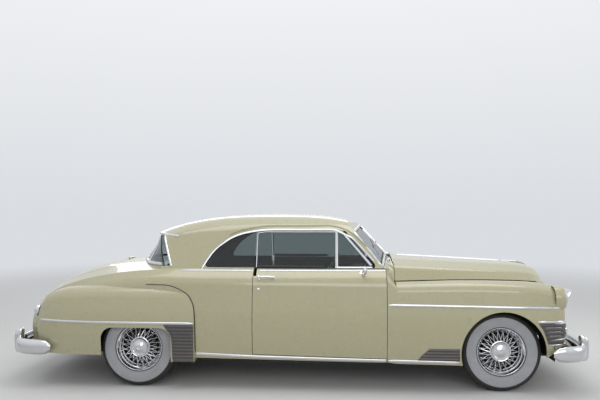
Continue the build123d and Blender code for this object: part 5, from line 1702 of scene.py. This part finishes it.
class HARDTOP_OT_cabin_trim(bpy.types.Operator):
    """Line the roof and the doors, with their arm rests and cranks"""
    bl_idname = "hardtop.cabin_trim"
    bl_label = "Cabin trim"

    def execute(self, context):
        for side, word in SIDES:
            self.card(side, word)
        rows = []
        for number in range(29):
            x = -1.10 + 1.42 * number / 28
            bow = 0.0035 * abs(math.sin(math.pi * number / 4)) ** 0.5
            row = []
            for step in range(21):
                y = 0.56 * (step / 10 - 1)
                found = hits(("body_shell",), [((x, y, 1.30), (0, 0, 1))])
                point = found[0][0] if found else Vector((x, y, 1.5))
                row.append(point - Vector((0, 0, 0.012 - bow)))
            rows.append(row)
        lining = loft("roof_lining", rows, angle=60)
        thickened(lining, 0.002, 60)
        finish_piece(lining, "lining")
        return {"FINISHED"}

    def card(self, side, word):
        """The upholstered card on a door, with its arm rest and two cranks."""
        door = (f"door_{word}",)
        rows = []
        for number in range(33):
            z = 0.40 + 0.62 * number / 32
            rib = 0.004 * abs(math.sin(math.pi * number / 2)) if 4 < number < 18 else 0.004
            row = []
            for step in range(25):
                x = -0.30 + 1.08 * step / 24
                point, _ = cast(door, (x, side * WITHIN, z), (0, side, 0))
                edge = 0 if step in (0, 24) or number in (0, 32) else 1
                row.append(point + Vector((0, -side, 0)) * (0.003 + (0.004 + rib) * edge))
            rows.append(row)
        card = loft(f"door_card_{word}", rows, angle=50)
        thickened(card, 0.004, 50)
        finish_piece(card, "hide", f"door_{word}")
        point, _ = cast(door, (0.05, side * WITHIN, 0.70), (0, side, 0))
        y = point.y - side * 0.012
        rows = []
        for x, half, out in ((-0.170, 0.010, 0.012), (-0.155, 0.022, 0.034), (-0.110, 0.030, 0.048),
                             (0.060, 0.031, 0.052), (0.220, 0.030, 0.048), (0.262, 0.022, 0.034),
                             (0.276, 0.010, 0.012)):
            rows.append([Vector((x, y - side * out * (0.5 - 0.5 * math.cos(a)),
                                 0.700 + half * math.sin(a) * 1.1)) for a in circle(16)])
        rest = loft(f"arm_rest_{word}", rows, ring=True)
        modify(rest, "SUBSURF", levels=1, render_levels=1)
        soften(rest, 60)
        finish_piece(rest, "hide", f"door_{word}")
        parts = []
        for x, z, reach in ((0.36, 0.86, 0.10), (-0.10, 0.90, 0.075)):
            point, _ = cast(door, (x, side * WITHIN, z), (0, side, 0))
            foot = point - Vector((0, side * 0.008, 0))
            inward = Vector((0, -side, 0))
            profile = ((0, 0), (0, 0.019), (0.006, 0.017), (0.010, 0.008), (0.030, 0.007), (0.030, 0))
            parts.append(spun("rose", profile, foot, inward, 24))
            tip = foot + inward * 0.034 + Vector((reach * 0.8, 0, -reach * 0.5))
            parts.append(rod("crank", foot + inward * 0.026, tip, 0.0055, 12, 0.002))
            parts.append(rod("knob", tip, tip + inward * 0.022, 0.010, 16, 0.004))
        cranks = joined(f"door_cranks_{word}", *parts)
        finish_piece(cranks, "chrome", f"door_{word}")


# Studio

BACKDROP = (0.70, 0.72, 0.75)


class HARDTOP_OT_studio(bpy.types.Operator):
    """Set the floor, the light and the camera"""
    bl_idname = "hardtop.studio"
    bl_label = "Studio"

    def execute(self, context):
        settings = context.scene.hardtop_studio
        scene = context.scene
        scene.view_settings.view_transform = "Standard"
        deselect()
        bpy.ops.mesh.primitive_circle_add(vertices=96, radius=90, fill_type="NGON", location=(0, 0, 0))
        floor = bpy.context.object
        floor.name = "studio_floor"
        finish = Finish("studio_floor", (0.72, 0.72, 0.71), 0.8)
        finish.tint(finish.mottle(3, 1.4), (0.66, 0.66, 0.65), 0.4)
        nodes, links = finish.nodes, finish.links
        path, place = nodes.new("ShaderNodeLightPath"), nodes.new("ShaderNodeTexCoord")
        reach = nodes.new("ShaderNodeVectorMath")
        reach.operation = "LENGTH"
        links.new(place.outputs["Object"], reach.inputs[0])
        far = nodes.new("ShaderNodeMapRange")
        far.interpolation_type = "SMOOTHSTEP"
        links.new(reach.outputs["Value"], far.inputs["Value"])
        far.inputs["From Min"].default_value = 4.5
        far.inputs["From Max"].default_value = 15
        seen = maths(nodes, links, "MAXIMUM", path.outputs["Is Camera Ray"], path.outputs["Is Glossy Ray"])
        seen = maths(nodes, links, "MAXIMUM", seen, path.outputs["Is Transmission Ray"])
        glow = nodes.new("ShaderNodeEmission")
        glow.inputs["Color"].default_value = (*BACKDROP, 1)
        blend = nodes.new("ShaderNodeMixShader")
        links.new(maths(nodes, links, "MULTIPLY", seen, far.outputs["Result"]), blend.inputs["Fac"])
        links.new(finish.shader.outputs[0], blend.inputs[1])
        links.new(glow.outputs[0], blend.inputs[2])
        links.new(blend.outputs[0], nodes["Material Output"].inputs["Surface"])
        floor.data.materials.append(finish.material)
        world = bpy.data.worlds.new("studio_world")
        scene.world = world
        world.use_nodes = True
        nodes, links = world.node_tree.nodes, world.node_tree.links
        background = nodes["Background"]
        place = nodes.new("ShaderNodeTexCoord")
        parts = nodes.new("ShaderNodeSeparateXYZ")
        links.new(place.outputs["Generated"], parts.inputs[0])
        sky = nodes.new("ShaderNodeMix")
        sky.data_type = "RGBA"
        sky.inputs["A"].default_value = (*BACKDROP, 1)
        sky.inputs["B"].default_value = (0.96, 0.97, 1.0, 1)
        links.new(ranged(nodes, links, parts.outputs["Z"], 0.0, 0.55), sky.inputs["Factor"])
        links.new(sky.outputs["Result"], background.inputs["Color"])
        path = nodes.new("ShaderNodeLightPath")
        seen = maths(nodes, links, "MAXIMUM", path.outputs["Is Camera Ray"],
                     path.outputs["Is Transmission Ray"])
        seen = maths(nodes, links, "MAXIMUM", seen, path.outputs["Is Glossy Ray"])
        links.new(ranged(nodes, links, seen, 0, 1, 0.5, 1.0), background.inputs["Strength"])
        for name, place, aim, size, power in (
            ("overhead", (0.3, -0.5, 6.5), (0, 0, 0), (9, 4), 210),
            ("near_side", (1.5, -7.5, 3.6), (0, 0, 0.6), (7, 2.5), 120),
            ("far_side", (-2.0, 7.0, 4.0), (0, 0, 0.6), (7, 2.5), 85),
            ("nose", (7.5, -1.5, 3.0), (0, 0, 0.6), (3, 3), 50),
        ):
            light = bpy.data.lights.new(name, "AREA")
            light.shape = "RECTANGLE"
            light.size, light.size_y = size
            light.energy = power
            lamp = bpy.data.objects.new(name, light)
            bpy.context.collection.objects.link(lamp)
            lamp.location = place
            lamp.rotation_euler = (Vector(aim) - Vector(place)).to_track_quat("-Z", "Y").to_euler()
        camera_data = bpy.data.cameras.new("photo_camera")
        camera_data.lens = settings.lens
        camera_data.sensor_width = 36
        camera_data.shift_y = 0.02
        camera_data.clip_end = 200
        camera = bpy.data.objects.new("photo_camera", camera_data)
        bpy.context.collection.objects.link(camera)
        camera.location = (settings.along, -settings.away, settings.height)
        camera.rotation_euler = (math.pi / 2, 0, settings.turn)
        scene.camera = camera
        return {"FINISHED"}


# Panel and registration

OPERATORS = (HARDTOP_OT_panels, HARDTOP_OT_glass, HARDTOP_OT_chassis, HARDTOP_OT_wheels, HARDTOP_OT_side_trim,
             HARDTOP_OT_windows, HARDTOP_OT_lamps, HARDTOP_OT_grille, HARDTOP_OT_bumpers,
             HARDTOP_OT_front_detail, HARDTOP_OT_liners, HARDTOP_OT_body_detail, HARDTOP_OT_engine_bay,
             HARDTOP_OT_seats, HARDTOP_OT_dashboard, HARDTOP_OT_steering_wheel, HARDTOP_OT_cabin_trim,
             HARDTOP_OT_studio)
SETTINGS = (("hardtop_paint", PaintSettings), ("hardtop_trim", TrimSettings),
            ("hardtop_wheels", WheelSettings), ("hardtop_studio", StudioSettings))


class HARDTOP_PT_panel(bpy.types.Panel):
    """Lists the settings and the steps of the dressing"""
    bl_idname = "HARDTOP_PT_panel"
    bl_label = "Hardtop"
    bl_space_type = "VIEW_3D"
    bl_region_type = "UI"
    bl_category = "Hardtop"

    def draw(self, context):
        for name, kind in SETTINGS:
            settings = getattr(context.scene, name)
            for key in kind.__annotations__:
                self.layout.prop(settings, key)
        for operator in OPERATORS:
            self.layout.operator(operator.bl_idname)


def register():
    for _, kind in SETTINGS:
        bpy.utils.register_class(kind)
    for operator in OPERATORS:
        bpy.utils.register_class(operator)
    bpy.utils.register_class(HARDTOP_PT_panel)
    for name, kind in SETTINGS:
        setattr(bpy.types.Scene, name, PointerProperty(type=kind))


def unregister():
    for name, _ in SETTINGS:
        delattr(bpy.types.Scene, name)
    bpy.utils.unregister_class(HARDTOP_PT_panel)
    for operator in reversed(OPERATORS):
        bpy.utils.unregister_class(operator)
    for _, kind in reversed(SETTINGS):
        bpy.utils.unregister_class(kind)


def main():
    """Dresses the car step by step."""
    register()
    make_finishes(bpy.context.scene.hardtop_paint)
    for operator in OPERATORS:
        family, step = operator.bl_idname.split(".")
        getattr(getattr(bpy.ops, family), step)()


if __name__ == "__main__":
    main()
